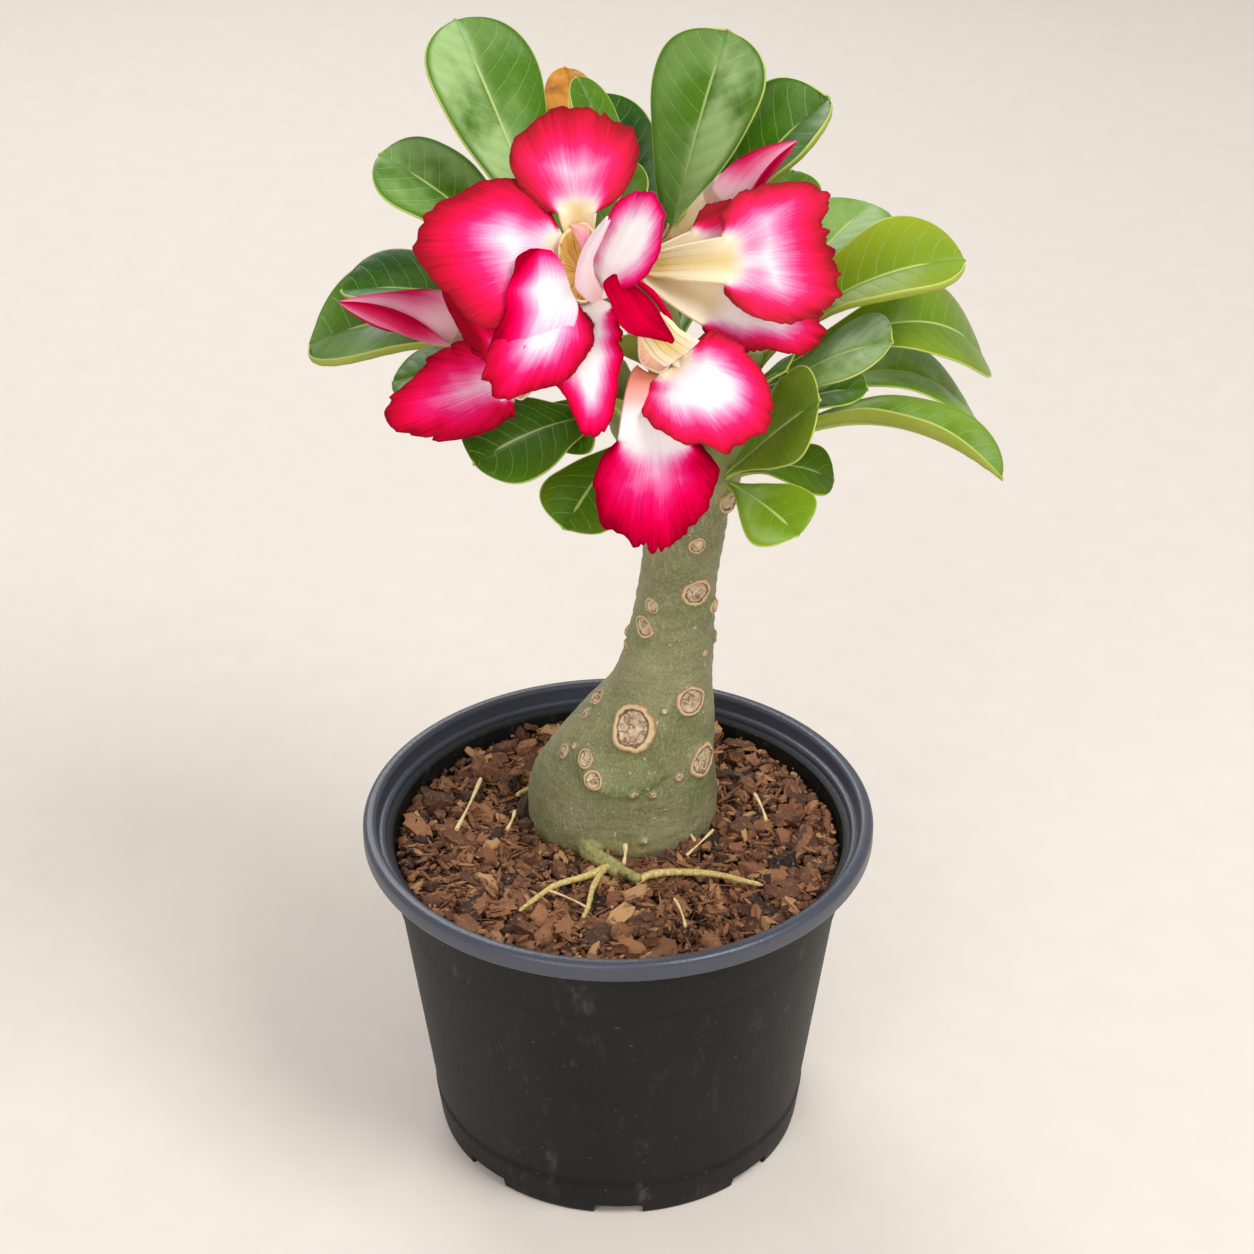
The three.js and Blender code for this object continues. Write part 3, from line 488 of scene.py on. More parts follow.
class Paint:
    """A node material with one Principled shader, and short ways to its nodes. Colours run from 0 to 255."""

    def __init__(self, name, **sockets):
        self.material = bpy.data.materials.new(name)
        self.material.use_nodes = True
        self.tree = self.material.node_tree
        self.shader = next(n for n in self.tree.nodes if n.type == "BSDF_PRINCIPLED")
        for key, value in sockets.items():
            self.shader.inputs[key.replace("_", " ")].default_value = value

    def link(self, value, socket):
        if isinstance(value, Signal):
            self.tree.links.new(value.socket, socket)
        elif socket.type == "RGBA":
            socket.default_value = (*shade(*value), 1)
        else:
            socket.default_value = value

    def node(self, kind, entries, output=0, **settings):
        """The output of a new node, with values or signals for its sockets and with its settings."""
        node = self.tree.nodes.new("ShaderNode" + kind)
        for key, value in settings.items():
            setattr(node, key, value)
        for key, value in dict(entries).items():
            self.link(value, node.inputs[key])
        return Signal(self, node.outputs[output])

    def attributes(self, *names):
        return [self.node("Attribute", {}, "Fac", attribute_name=name) for name in names]

    def math(self, operation, *values):
        return self.node("Math", enumerate(values), operation=operation)

    def step(self, value, low, high, start=0.0, end=1.0):
        """A soft step of a value: start at low and before it, end at high and after it."""
        entries = {"Value": value, "From Min": low, "From Max": high, "To Min": start, "To Max": end}
        return self.node("MapRange", entries, interpolation_type="SMOOTHSTEP")

    def fade(self, value, low, high):
        """A soft step down: 1 at low and before it, 0 at high and after it."""
        return self.step(value, low, high, 1.0, 0.0)

    def place(self):
        return self.node("TexCoord", {}, "Object")

    def combine(self, *values):
        return self.node("CombineXYZ", enumerate(values))

    def noise(self, where, scale, detail=3.0, roughness=0.5, stretch=None, output="Fac"):
        if stretch is not None:
            where = self.node("Mapping", {"Vector": where, "Scale": stretch})
        entries = {"Vector": where, "Scale": scale, "Detail": detail, "Roughness": roughness}
        return self.node("TexNoise", entries, output)

    def swirled(self, where, scale, amount):
        """Places moved about by a noise, so that a pattern on them curves."""
        sway = self.noise(where, scale, 2, output="Color")
        return self.node("VectorMath", enumerate((sway, (amount,) * 3, where)), operation="MULTIPLY_ADD")

    def cells(self, where, scale):
        """The distance to the nearest border between cells."""
        entries = {"Vector": where, "Scale": scale}
        return self.node("TexVoronoi", entries, "Distance", feature="DISTANCE_TO_EDGE")

    def mix(self, share, first, second):
        return self.node("Mix", {0: share, 6: first, 7: second}, 2, data_type="RGBA")

    def ramp(self, value, *stops):
        """A colour that runs through stops, each of them a place from 0 to 1 and a colour."""
        ramp = self.node("ValToRGB", {0: value})
        elements = ramp.socket.node.color_ramp.elements
        while len(elements) < len(stops):
            elements.new(0.5)
        for element, (place, colour) in zip(elements, stops):
            element.position = place
            element.color = (*shade(*colour), 1)
        return ramp

    def bump(self, height, strength, distance):
        return self.node("Bump", {"Strength": strength, "Distance": distance, "Height": height})

    def finish(self, colour, roughness=None, normal=None):
        for value, key in ((colour, "Base Color"), (roughness, "Roughness"), (normal, "Normal")):
            if value is not None:
                self.link(value, self.shader.inputs[key])
        return self.material


def leaf_material():
    """Glossy green above with a pale midrib, looping side veins, a pale margin and a painted sheen; paler and
    matter below.
    """
    paint = Paint("leaf_skin", IOR=1.45, Specular_IOR_Level=0.28)
    upper, tone, yellow, rib = paint.attributes("upper", "tone", "yellow", "rib")
    margin, phase, sheen = paint.attributes("margin", "phase", "sheen")
    where = paint.place()
    cloud = paint.noise(where, 45, 3)
    wobble = paint.noise(where, 160, 2) * 0.35 - 0.17
    off_vein = abs(paint.math("FRACT", phase + wobble) - 0.5)
    vein = paint.fade(off_vein, 0.005, 0.032) * paint.step(margin, 0.4, 3.0)
    net = paint.fade(paint.cells(where, 420), 0.0, 0.07)
    midrib = paint.fade(rib, 0.25, 0.75)
    deep = paint.ramp(cloud, (0.25, (34, 78, 6)), (0.75, (58, 116, 12)))
    light = paint.ramp(cloud, (0.25, (84, 134, 16)), (0.75, (128, 168, 46)))
    green = paint.mix(tone, deep, light)
    green = paint.mix(yellow, green, (176, 182, 16))
    green = paint.mix(net * 0.1, green, (150, 180, 90))
    # Painted sheen: pale patches of painted highlight on the upper face, a little lighter on one side of each
    # panel between the veins, with paler veins over them.
    painted_sheen_panels = paint.math("SINE", phase * (2 * math.pi)) * 0.05 + 0.9
    painted_sheen_mask = paint.step(sheen * 0.13 + paint.noise(where, 48, 4, 0.5), 0.46, 0.7) * painted_sheen_panels
    painted_sheen_mask = painted_sheen_mask * paint.math("MINIMUM", sheen, 1.0) * paint.step(margin, 0.3, 3.0)
    green = paint.mix(painted_sheen_mask, green, (172, 206, 136))
    above = paint.mix(vein * 0.6, green, paint.mix(painted_sheen_mask, (158, 196, 104), (222, 238, 184)))
    above = paint.mix(midrib * 0.85, above, (198, 216, 130))
    below = paint.ramp(cloud, (0.2, (134, 154, 50)), (0.8, (172, 184, 84)))
    below = paint.mix(yellow * 0.6, below, (196, 200, 70))
    below = paint.mix(vein * 0.35, below, (104, 132, 40))
    below = paint.mix(midrib * 0.8, below, (200, 210, 130))
    colour = paint.mix(upper, below, above)
    colour = paint.mix(paint.fade(margin, 0.12, 0.5) * 0.85, colour, (196, 212, 110))
    rough = cloud * 0.14 + paint.step(upper, 0.2, 0.8, 0.55, 0.26)
    return paint.finish(colour, rough, paint.bump(vein * -0.6 + cloud * 0.7, 0.5, 0.0004))


def dried_material():
    """A withered leaf: orange brown with darker blotches, dull."""
    paint = Paint("dried_skin", IOR=1.4)
    where = paint.place()
    (rib,) = paint.attributes("rib")
    cloud = paint.noise(where, 130, 4, 0.6)
    colour = paint.ramp(cloud, (0.25, (140, 84, 30)), (0.5, (206, 138, 48)), (0.8, (232, 178, 84)))
    colour = paint.mix(paint.fade(rib, 0.25, 0.8) * 0.6, colour, (226, 190, 110))
    return paint.finish(colour, cloud * 0.2 + 0.6, paint.bump(paint.noise(where, 500, 3), 0.6, 0.0005))


# The colours of a petal's face and back, from its middle to its margin.
PETAL_FACE = [
    (0.0, (255, 250, 250)),
    (0.16, (253, 232, 243)),
    (0.3, (248, 178, 214)),
    (0.45, (246, 110, 174)),
    (0.6, (240, 30, 118)),
    (0.76, (236, 0, 80)),
    (0.9, (202, 0, 52)),
    (1.0, (154, 0, 36)),
]
PETAL_BACK = [
    (0.0, (250, 226, 220)),
    (0.3, (246, 196, 212)),
    (0.55, (234, 118, 160)),
    (0.78, (216, 44, 98)),
    (1.0, (182, 4, 54)),
]


def petal_material():
    """White in the middle, through pink to a crimson margin in fine radial streaks; paler behind."""
    paint = Paint("petal_skin", IOR=1.4, Specular_IOR_Level=0.0)
    upper, reach, angle, seed = paint.attributes("upper", "reach", "angle", "seed")
    edge, flow, claw, lane = paint.attributes("edge", "flow", "claw", "lane")
    yellow, lines, blush = paint.attributes("yellow", "lines", "blush")
    where = paint.place()
    rays = paint.noise(paint.combine(angle * 9.0, reach * 0.5, seed), 4.2, 5, 0.68)
    broad = paint.noise(paint.combine(angle * 1.8, reach, seed), 1.3, 2)
    flow = flow + rays * 0.34 + broad * 0.24 + paint.noise(where, 110, 3) * 0.16 - 0.37
    colour = paint.mix(upper, paint.ramp(flow, *PETAL_BACK), paint.ramp(flow, *PETAL_FACE))
    colour = paint.mix(paint.fade(edge, 0.1, 0.8) * 0.45, colour, (120, 0, 30))
    specks = paint.step(paint.noise(where, 380, 1, 0.4), 0.78, 0.8)
    colour = paint.mix(specks * 0.5, colour, (150, 10, 50))
    on_claw = paint.step(claw, 0.2, 0.75)
    foot = paint.fade(reach, 0.0, 0.3) * 0.8
    off_line = abs(paint.math("FRACT", lane * 2.6 + broad * 0.8) - 0.5)
    guide = paint.fade(off_line, 0.02, 0.16) * on_claw * lines
    cream = paint.mix(paint.step(abs(lane), 0.0, 0.8), (232, 206, 112), (252, 238, 190))
    cream = paint.mix(guide * 0.6, cream, (190, 146, 70))
    colour = paint.mix(paint.math("MAXIMUM", on_claw, foot) * yellow, colour, cream)
    blush = paint.step(claw, 0.28, 1.0) * blush
    salmon = paint.ramp(blush, (0.0, (250, 206, 206)), (0.8, (250, 158, 132)))
    colour = paint.mix(paint.step(blush, 0.0, 0.35), colour, salmon)
    veins = rays + paint.noise(where, 900, 2) * 0.25
    return paint.finish(colour, rays * 0.12 + 0.5, paint.bump(veins, 0.5, 0.0005))


# The outside of a bloom from its stalk to its mouth.
TUBE_COLOURS = [
    (0.0, (132, 150, 74)),
    (0.22, (176, 182, 100)),
    (0.36, (232, 214, 150)),
    (0.7, (246, 226, 178)),
    (1.0, (252, 222, 206)),
]


def throat_material():
    """The funnel and stalk of a bloom or bud: green at the stalk, through cream to pink, golden inside."""
    soft = {"Subsurface_Weight": 0.3, "Subsurface_Radius": (1.0, 0.7, 0.3), "Subsurface_Scale": 0.003}
    paint = Paint("throat_skin", IOR=1.4, **soft)
    up, inside, angle, gold, pink = paint.attributes("up", "inside", "angle", "gold", "pink")
    lines = paint.noise(paint.combine(angle * 4.0, up * 0.8), 3.0, 3, 0.6)
    outside = paint.mix(paint.step(lines, 0.5, 0.75) * 0.3, paint.ramp(up, *TUBE_COLOURS), (238, 150, 150))
    golden = paint.ramp(lines, (0.36, (180, 112, 50)), (0.46, (250, 210, 120)), (0.7, (255, 240, 176)))
    rosy = paint.ramp(lines, (0.3, (236, 168, 140)), (0.7, (252, 226, 200)))
    colour = paint.mix(inside, outside, paint.mix(gold, rosy, golden))
    colour = paint.mix(pink, colour, paint.ramp(lines, (0.3, (206, 60, 96)), (0.7, (244, 168, 178))))
    return paint.finish(colour, lines * 0.15 + 0.38, paint.bump(lines, 0.4, 0.0004))


def bark_material():
    """Smooth grey-green bark with green patches, pale streaks that are partly scratches and partly painted
    sheen, flecks, and corky tan scars.
    """
    paint = Paint("bark_skin", IOR=1.4)
    where = paint.place()
    from_scar, fresh, young, root, old = paint.attributes("from_scar", "fresh", "young", "root", "old")
    patch = paint.noise(where, 55, 4, 0.55)
    grain = paint.noise(where, 1500, 3, 0.7)
    streaks = paint.noise(where, 520, 3, 0.6, stretch=(2.2, 2.2, 0.5))
    lines = paint.noise(where, 420, 3, 0.6, stretch=(0.5, 0.5, 2.6))
    flecks = paint.noise(where, 420, 2, 0.6)
    skin = paint.ramp(patch, (0.28, (98, 102, 58)), (0.5, (130, 131, 88)), (0.72, (156, 151, 112)))
    lively = paint.ramp(patch, (0.35, (84, 108, 28)), (0.7, (118, 138, 58)))
    skin = paint.mix(fresh * 0.75, skin, lively)
    skin = paint.mix(0.22, skin, paint.ramp(grain, (0.35, (66, 68, 34)), (0.65, (206, 202, 168))))
    # The pale streaks stand partly for fine scratches and partly for a painted sheen.
    skin = paint.mix(paint.step(streaks, 0.54, 0.7) * 0.4, skin, (182, 180, 148))
    skin = paint.mix(paint.step(lines, 0.58, 0.7) * 0.25, skin, (88, 92, 52))
    skin = paint.mix(paint.step(flecks, 0.68, 0.73) * 0.7, skin, (216, 208, 178))
    warped = from_scar + paint.noise(where, 420, 2) * 0.24 - 0.12
    crack = paint.fade(paint.cells(paint.swirled(where, 380, 0.006), 300), 0.01, 0.1)
    crack = crack * paint.step(paint.noise(where, 260, 2), 0.4, 0.55)
    cork = paint.ramp(flecks, (0.3, (176, 146, 114)), (0.5, (210, 186, 154)), (0.7, (232, 214, 184)))
    cork = paint.mix(crack * 0.65, cork, (100, 68, 46))
    cork = paint.mix(paint.step(warped, 0.74, 0.82), cork, (220, 192, 148))
    cork = paint.mix(paint.fade(abs(warped - 0.75), 0.02, 0.07) * 0.8, cork, (104, 70, 44))
    colour = paint.mix(paint.fade(warped, 0.98, 1.03), skin, cork)
    colour = paint.mix(paint.fade(abs(warped - 1.0), 0.02, 0.09) * 0.6, colour, (146, 104, 60))
    colour = paint.mix(young, colour, paint.ramp(patch, (0.3, (112, 128, 62)), (0.7, (150, 156, 96))))
    thin = paint.ramp(streaks, (0.35, (176, 154, 84)), (0.65, (226, 206, 140)))
    thick = paint.ramp(streaks, (0.35, (138, 138, 78)), (0.65, (178, 172, 116)))
    colour = paint.mix(root, colour, paint.mix(old, thin, thick))
    inside = paint.fade(warped, 0.7, 0.8)
    height = streaks * 0.5 + grain * 0.35 + crack * inside * -1.4 + paint.step(flecks, 0.66, 0.74) * 0.4
    return paint.finish(colour, patch * 0.2 + 0.45 + inside * 0.3, paint.bump(height, 0.6, 0.0006))


CHIP_COLOURS = [
    (0.0, (44, 34, 32)),
    (0.25, (76, 52, 42)),
    (0.5, (128, 84, 58)),
    (0.72, (160, 112, 78)),
    (0.84, (204, 160, 112)),
    (1.0, (236, 212, 160)),
]


def chip_material():
    """Bark and coir: each chip has its own brown, from near black to tan, with a fibrous grain."""
    paint = Paint("chip_skin", IOR=1.4)
    where = paint.place()
    (tone,) = paint.attributes("tone")
    grain = paint.noise(where, 700, 4, 0.65)
    dirt = paint.noise(where, 260, 3, 0.6)
    colour = paint.ramp(tone * 0.8, *CHIP_COLOURS)
    colour = paint.mix(paint.step(dirt, 0.52, 0.74) * 0.45, colour, (60, 40, 30))
    colour = paint.mix(paint.step(grain, 0.5, 0.75) * 0.4, colour, (196, 148, 106))
    return paint.finish(colour, grain * 0.15 + 0.72, paint.bump(grain, 0.8, 0.0008))


def plastic_material():
    """Black moulded plastic with a fine orange-peel, pale scuffs and a film of dust, glossier on the rim,
    whose colour is a painted highlight.
    """
    paint = Paint("pot_plastic", IOR=1.46)
    where = paint.place()
    (rim,) = paint.attributes("rim")
    film = paint.noise(where, 22, 5, 0.62)
    streaks = paint.noise(where, 60, 4, 0.6, stretch=(2.2, 2.2, 0.22))
    specks = paint.noise(where, 700, 2, 0.5)
    scuffs = paint.noise(where, 120, 5, 0.72, stretch=(1.0, 1.0, 0.7))
    dusty = paint.step(streaks, 0.5, 0.78) * paint.step(scuffs, 0.48, 0.66)
    colour = paint.ramp(film, (0.3, (20, 20, 21)), (0.7, (34, 32, 31)))
    colour = paint.mix(dusty * 0.4, colour, (120, 112, 106))
    colour = paint.mix(paint.step(specks, 0.68, 0.78) * 0.2, colour, (150, 144, 138))
    # Painted highlight: the rolled rim is painted a lighter bluish grey than the black wall.
    colour = paint.mix(rim * 0.75, colour, (72, 78, 94))
    paint.link(rim * 0.5 + 0.2, paint.shader.inputs["Specular IOR Level"])
    peel = paint.noise(where, 900, 2) + scuffs * 0.8
    return paint.finish(colour, film * 0.22 + 0.4 + rim * -0.16, paint.bump(peel, 0.35, 0.0003))


# ---- Pot ----


def wall_radius(z):
    """The outer radius of the pot's tapering wall at a height."""
    rise = z / (POT["height"] - POT["rim_drop"])
    return POT["base_radius"] + (POT["top_radius"] - POT["base_radius"]) * rise


def arc(centre, radius, start, end, steps):
    """Points of an arc in the pot's profile, radius outwards and z up, by angles in degrees."""
    angles = np.radians(np.linspace(start, end, steps))
    return [(centre[0] + radius * math.cos(a), centre[1] + radius * math.sin(a)) for a in angles]


def pot_profile():
    """The pot's section, from the middle of its foot out, up, over the rolled rim and down to the floor."""
    height, rim, wall, step = POT["height"], POT["rim_radius"], POT["wall"], POT["band_step"]
    rim_foot = height - POT["rim_drop"]
    band, collar = POT["band"], POT["collar"]
    outside = [(0, 0), (POT["base_radius"] - 1.2, 0)]
    outside += arc((POT["base_radius"] - 1.0, 1.0), 1.0, -90, 0, 5)
    outside += [(wall_radius(z), z) for z in np.linspace(2.5, band - 0.3, 6)]
    outside += [(wall_radius(band) - step, band + 0.5)]
    outside += [(wall_radius(z) - step, z) for z in np.linspace(band + 2, collar - 1.4, 24)]
    outside += [(wall_radius(collar) - step - 0.15, collar - 0.5), (wall_radius(collar) + 0.1, collar)]
    outside += [(wall_radius(z) + 0.1, z) for z in np.linspace(collar + 1.5, rim_foot - 1.5, 8)]
    outside += arc((wall_radius(rim_foot) + 1.3, rim_foot - 0.2), 1.2, 180, 90, 5)
    outside += [(rim - 1.2, rim_foot + 0.8)]
    outside += arc((rim - 0.8, rim_foot + 0.2), 0.8, -90, 0, 5)
    outside += arc((rim - 1.8, height - 1.8), 1.8, 10, 90, 9)
    inner = POT["rim_inner"]
    outside += arc((inner + 1.6, height - 1.6), 1.6, 95, 180, 9)
    outside += [(inner - 0.3, height - 3.0), (inner - 0.8, rim_foot)]
    outside += [(wall_radius(z) - wall, z) for z in np.linspace(rim_foot - 2, POT["floor"] + 1, 16)]
    return outside + [(wall_radius(POT["floor"]) - wall - 1.0, POT["floor"]), (0, POT["floor"])]


def spun(profile, sides):
    """Rings about the pot's axis through a profile of radii and heights."""
    angle = np.arange(sides) * 2 * math.pi / sides
    radius, z = np.array(profile, float).T[..., None]
    return np.stack([radius * np.cos(angle), radius * np.sin(angle), z + 0 * angle], -1)


def drain_notches():
    """Boxes that cut the drain notches out of the pot's foot, a little wider below."""
    cutters = bmesh.new()
    for k in range(DRAIN["count"]):
        for vertex in bmesh.ops.create_cube(cutters, size=1.0)["verts"]:
            corner = np.array(vertex.co) * (DRAIN["depth"], DRAIN["width"], 2 * DRAIN["height"])
            corner[1] *= DRAIN["taper"] if corner[2] > 0 else 1.0
            corner[0] += POT["base_radius"]
            vertex.co = turned(corner, SKY, 2 * math.pi * k / DRAIN["count"]) * MM
    mesh = bpy.data.meshes.new("notches")
    cutters.to_mesh(mesh)
    cutters.free()
    tool = bpy.data.objects.new("notches", mesh)
    bpy.context.scene.collection.objects.link(tool)
    return tool


def make_pot():
    rings = np.array(pot_profile())[1:-1]
    on_rim = rings[:, 1:] > POT["height"] - POT["rim_drop"] - 0.5
    shape = Shape()
    add_rings(shape, spun(rings, POT["sides"]), rim=on_rim * np.ones(POT["sides"]))
    pot = shape.piece("pot_shell", plastic_material(), "pot", "pot")
    tool = drain_notches()
    cut = pot.modifiers.new("notches", "BOOLEAN")
    cut.operation, cut.solver, cut.object = "DIFFERENCE", "EXACT", tool
    apply_modifiers(pot)
    bpy.data.objects.remove(tool)
    pot.data.shade_smooth()
    sharpen(pot.data, 35)


def apply_modifiers(thing):
    graph = bpy.context.evaluated_depsgraph_get()
    final = thing.evaluated_get(graph)
    mesh = bpy.data.meshes.new_from_object(final, preserve_all_data_layers=True, depsgraph=graph)
    thing.modifiers.clear()
    thing.data = mesh


def sharpen(mesh, degrees):
    """Edges that turn by more than this stay crisp."""
    mesh.set_sharp_from_angle(angle=math.radians(degrees))


# ---- Soil ----

# The bark chips: how far their corners are moved, as a share of their size, how many kinds there are, how
# many corners they have along each axis, and how far they tilt in radians.
CHIP = {"ragged": 0.1, "kinds": 14, "corners": (5, 4, 3), "tilt": 0.38, "seed": 4}
CHIP_LAYERS = [
    # How many, shortest and longest, the height of the layer's middle above the soil's level, and its spread.
    (900, 3.5, 7.0, -2.6, 1.0),
    (1500, 2.5, 6.5, -0.7, 1.3),
    (330, 4.5, 11.0, 0.8, 1.2),
    (2600, 0.9, 2.8, 0.2, 1.8),
]
SPLINTERS = {"count": 420, "length": (3, 8), "width": (0.7, 1.8), "depth": (0.3, 0.7), "tilt": 0.35}
FIBRES = {"count": 420, "length": (5, 18), "radius": (0.08, 0.24), "steps": 10}


def trunk_table(z):
    """Centre x and y and half axes of the trunk at heights, by the table's rows."""
    rows = np.array(TRUNK_RINGS, float)
    place = np.interp(z, rows[:, 0], np.arange(len(rows))) / (len(rows) - 1)
    return between(rows[:, 1:], place)


def inside_trunk(x, y, margin):
    cx, cy, a, b = trunk_table(np.full(np.shape(x), ROOT_HEIGHT)).T
    return ((x - cx) / (a + margin)) ** 2 + ((y - cy) / (b + margin)) ** 2 < 1


def chip_kinds(draws):
    """Unit chips: a box of four by three by two cells with ragged, pinched corners."""
    steps = [np.linspace(-0.5, 0.5, n) for n in CHIP["corners"]]
    grid = np.stack(np.meshgrid(*steps, indexing="ij"), -1).reshape(-1, 3)
    number = np.arange(len(grid)).reshape(CHIP["corners"])
    faces = []
    for axis in range(3):
        for side in (0, -1):
            layer = np.take(number, side, axis=axis)
            a, b, c, d = layer[:-1, :-1], layer[1:, :-1], layer[1:, 1:], layer[:-1, 1:]
            quads = np.stack([a, b, c, d], -1).reshape(-1, 4)
            outward = (side == 0) == (axis == 1)
            faces += (quads if outward else quads[:, ::-1]).tolist()
    used, faces = np.unique(faces, return_inverse=True)
    corners = grid[used]
    kinds = []
    for _ in range(CHIP["kinds"]):
        rounding = 1 / (1 + 1.1 * np.sum((corners * (1.1, 1.0, 0.6)) ** 2, axis=1, keepdims=True))
        shaped = corners * rounding * 1.25 + draws.normal(scale=CHIP["ragged"], size=corners.shape)
        shaped[:, 1] *= 1 - 0.5 * draws.uniform() * (shaped[:, 0] + 0.5)
        shaped[:, 2] += 0.25 * draws.normal() * shaped[:, 0] ** 2
        kinds.append(shaped)
    return kinds, faces.reshape(-1, 4).tolist()


def random_turns(draws, count, tilt):
    """Three axes each, turned to any heading and tilted by about this many radians."""
    heading = draws.uniform(0, 2 * math.pi, count)
    pitch, roll = draws.normal(scale=tilt, size=(2, count))
    axes = np.broadcast_to(np.eye(3), (count, 3, 3))
    for axis, angle in zip(np.eye(3), (roll, pitch, heading)):
        axes = turned(axes, axis, angle[:, None])
    return axes


def near_roots(x, y, reach):
    """Whether each place lies closer than its reach to one of the roots on the mix."""
    near = np.zeros(np.shape(x), bool)
    for route, _ in ROOTS:
        line = between(route, np.linspace(0, 1, 40))
        gaps = np.hypot(x[..., None] - line[:, 0], y[..., None] - line[:, 1]).min(-1)
        near |= gaps < reach
    return near


def on_mix(draws, margin):
    """A random place on the mix, at least this far from its rim."""
    radius = (SOIL_RADIUS - margin) * math.sqrt(draws.uniform())
    heading = draws.uniform(0, 2 * math.pi)
    return radius * math.cos(heading), radius * math.sin(heading)


def add_chips(shape, draws, kinds, faces, lumps):
    """Layers of chips that shrink at the pot's wall and sink under the roots."""
    for count, shortest, longest, height, spread in CHIP_LAYERS:
        radius = SOIL_RADIUS * np.sqrt(draws.uniform(size=count))
        heading = draws.uniform(0, 2 * math.pi, count)
        x, y = radius * np.cos(heading), radius * np.sin(heading)
        length = shortest + (longest - shortest) * draws.uniform(size=count) ** 1.6
        shares = [draws.uniform(0.4, 0.85, count), draws.uniform(0.2, 0.5, count)]
        turns = random_turns(draws, count, CHIP["tilt"])
        z = SOIL_LEVEL + height + draws.normal(scale=spread, size=count) * 0.6
        z += 0.5 * lumps(np.stack([x, y, 0 * x], -1), 12.0)
        z = np.where(near_roots(x, y, 0.45 * length + 1.0), np.minimum(z, SOIL_LEVEL - 0.6), z)
        tone = np.clip(draws.normal(0.6, 0.26, count), 0, 1)
        pick = draws.integers(0, len(kinds), count)
        from_wall = np.clip((SOIL_RADIUS - radius) / (0.5 * length), 0, 1)
        size = np.stack([length, length * shares[0], length * shares[1]], -1)
        size = size * (0.5 + 0.5 * from_wall[:, None])
        spots = np.stack([x * (0.98 + 0.02 * from_wall), y, z], -1)
        for k in np.flatnonzero(~inside_trunk(x, y, -1.0)):
            shape.add((kinds[pick[k]] * size[k]) @ turns[k] + spots[k], faces, tone=tone[k])


def add_splinters(shape, draws, kinds, faces):
    for _ in range(SPLINTERS["count"]):
        x, y = on_mix(draws, 5)
        length = draws.uniform(*SPLINTERS["length"])
        turn = random_turns(draws, 1, SPLINTERS["tilt"])[0]
        size = (length, draws.uniform(*SPLINTERS["width"]), draws.uniform(*SPLINTERS["depth"]))
        if not inside_trunk(x, y, 1.0):
            kind = kinds[draws.integers(0, len(kinds))]
            spot = (x, y, SOIL_LEVEL + draws.uniform(0.3, 2.2))
            shape.add((kind * size) @ turn + spot, faces, tone=draws.uniform(0.5, 1.0))


def add_twigs(shape):
    steps = 14
    for start, end, thick in TWIGS:
        middle = (point(start) + point(end)) / 2 + (0.8, 0, 0.6)
        line = bend_point([start, middle, end], np.linspace(0, 1, steps))
        size = thick * (0.75 + 0.25 * np.sin(np.linspace(0.4, 8, steps)))
        add_rings(shape, rings_along(line, size, 8, SKY), tone=1.25)


def add_fibres(shape, draws):
    """Fine coir fibres that bend once and sink again, clear of the trunk and the wall."""
    steps = FIBRES["steps"]
    for _ in range(FIBRES["count"]):
        start = np.array([*on_mix(draws, 6), SOIL_LEVEL + draws.uniform(0.0, 1.8)])
        half = draws.uniform(*FIBRES["length"]) / 2
        way = draws.uniform(0, 2 * math.pi)
        later = way + draws.normal(scale=0.5)
        middle = start + half * np.array([math.cos(way), math.sin(way), draws.normal(scale=0.12)])
        end = middle + half * np.array([math.cos(later), math.sin(later), -0.25])
        outside = np.hypot(*end[:2]) > SOIL_RADIUS - 1
        if outside or inside_trunk(*end[:2], 1.0) or inside_trunk(*start[:2], 1.0):
            continue
        line = bend_point([start, middle, end], np.linspace(0, 1, steps))
        thick = draws.uniform(*FIBRES["radius"]) * np.sin(np.linspace(0.25, math.pi - 0.15, steps))
        add_rings(shape, rings_along(line, thick, 5, SKY), tone=draws.uniform(0.55, 1.0))


def make_soil(material):
    """The dark fill of the pot with chips, splinters, twigs and fibres lying on it."""
    draws = np.random.default_rng(CHIP["seed"])
    lumps = noise_table(21)
    bed = SOIL_LEVEL - 3.0
    profile = [(wall_radius(6) - 3, 6), (SOIL_RADIUS, bed - 0.5)]
    grid = spun(profile + [(r, bed) for r in np.linspace(SOIL_RADIUS - 1, 1, 26)], 120)
    grid[2:, :, 2] += 0.8 * lumps(grid[2:], 5.0)
    shape = Shape()
    add_rings(shape, grid, tone=0.05)
    kinds, faces = chip_kinds(draws)
    add_chips(shape, draws, kinds, faces, lumps)
    add_splinters(shape, draws, kinds, faces)
    add_twigs(shape)
    add_fibres(shape, draws)
    soil = shape.piece("soil_mix", material, "soil", "soil")
    sharpen(soil.data, 45)


# ---- Trunk ----

BARK = {"voxel": 0.62, "smoothing": 6, "sides": 72, "rings": 90, "steps": 30}
# A point's distance from a scar, in the scar's radii, where there is none near it.
FAR = 2.0


def swelling(z, angle):
    low = np.exp(-(((z - 112) / 16) ** 2)) * np.sin(5 * angle + 0.09 * z)
    return 0.5 * low + 0.2 * np.sin(3 * angle - 0.13 * z)


def scar_frames():
    """Where each scar lies on the bark, its outward direction and its radius."""
    frames = []
    for facing, z, width in SCARS + NUBS:
        cx, cy, a, b = trunk_table(np.array([z], float))[0]
        turn = math.radians(facing)
        spot = np.array([cx + a * math.cos(turn), cy + b * math.sin(turn), z])
        outward = unit(np.array([math.cos(turn) / a, math.sin(turn) / b, 0.0]))
        frames.append((spot, outward, width / 2))
    return frames


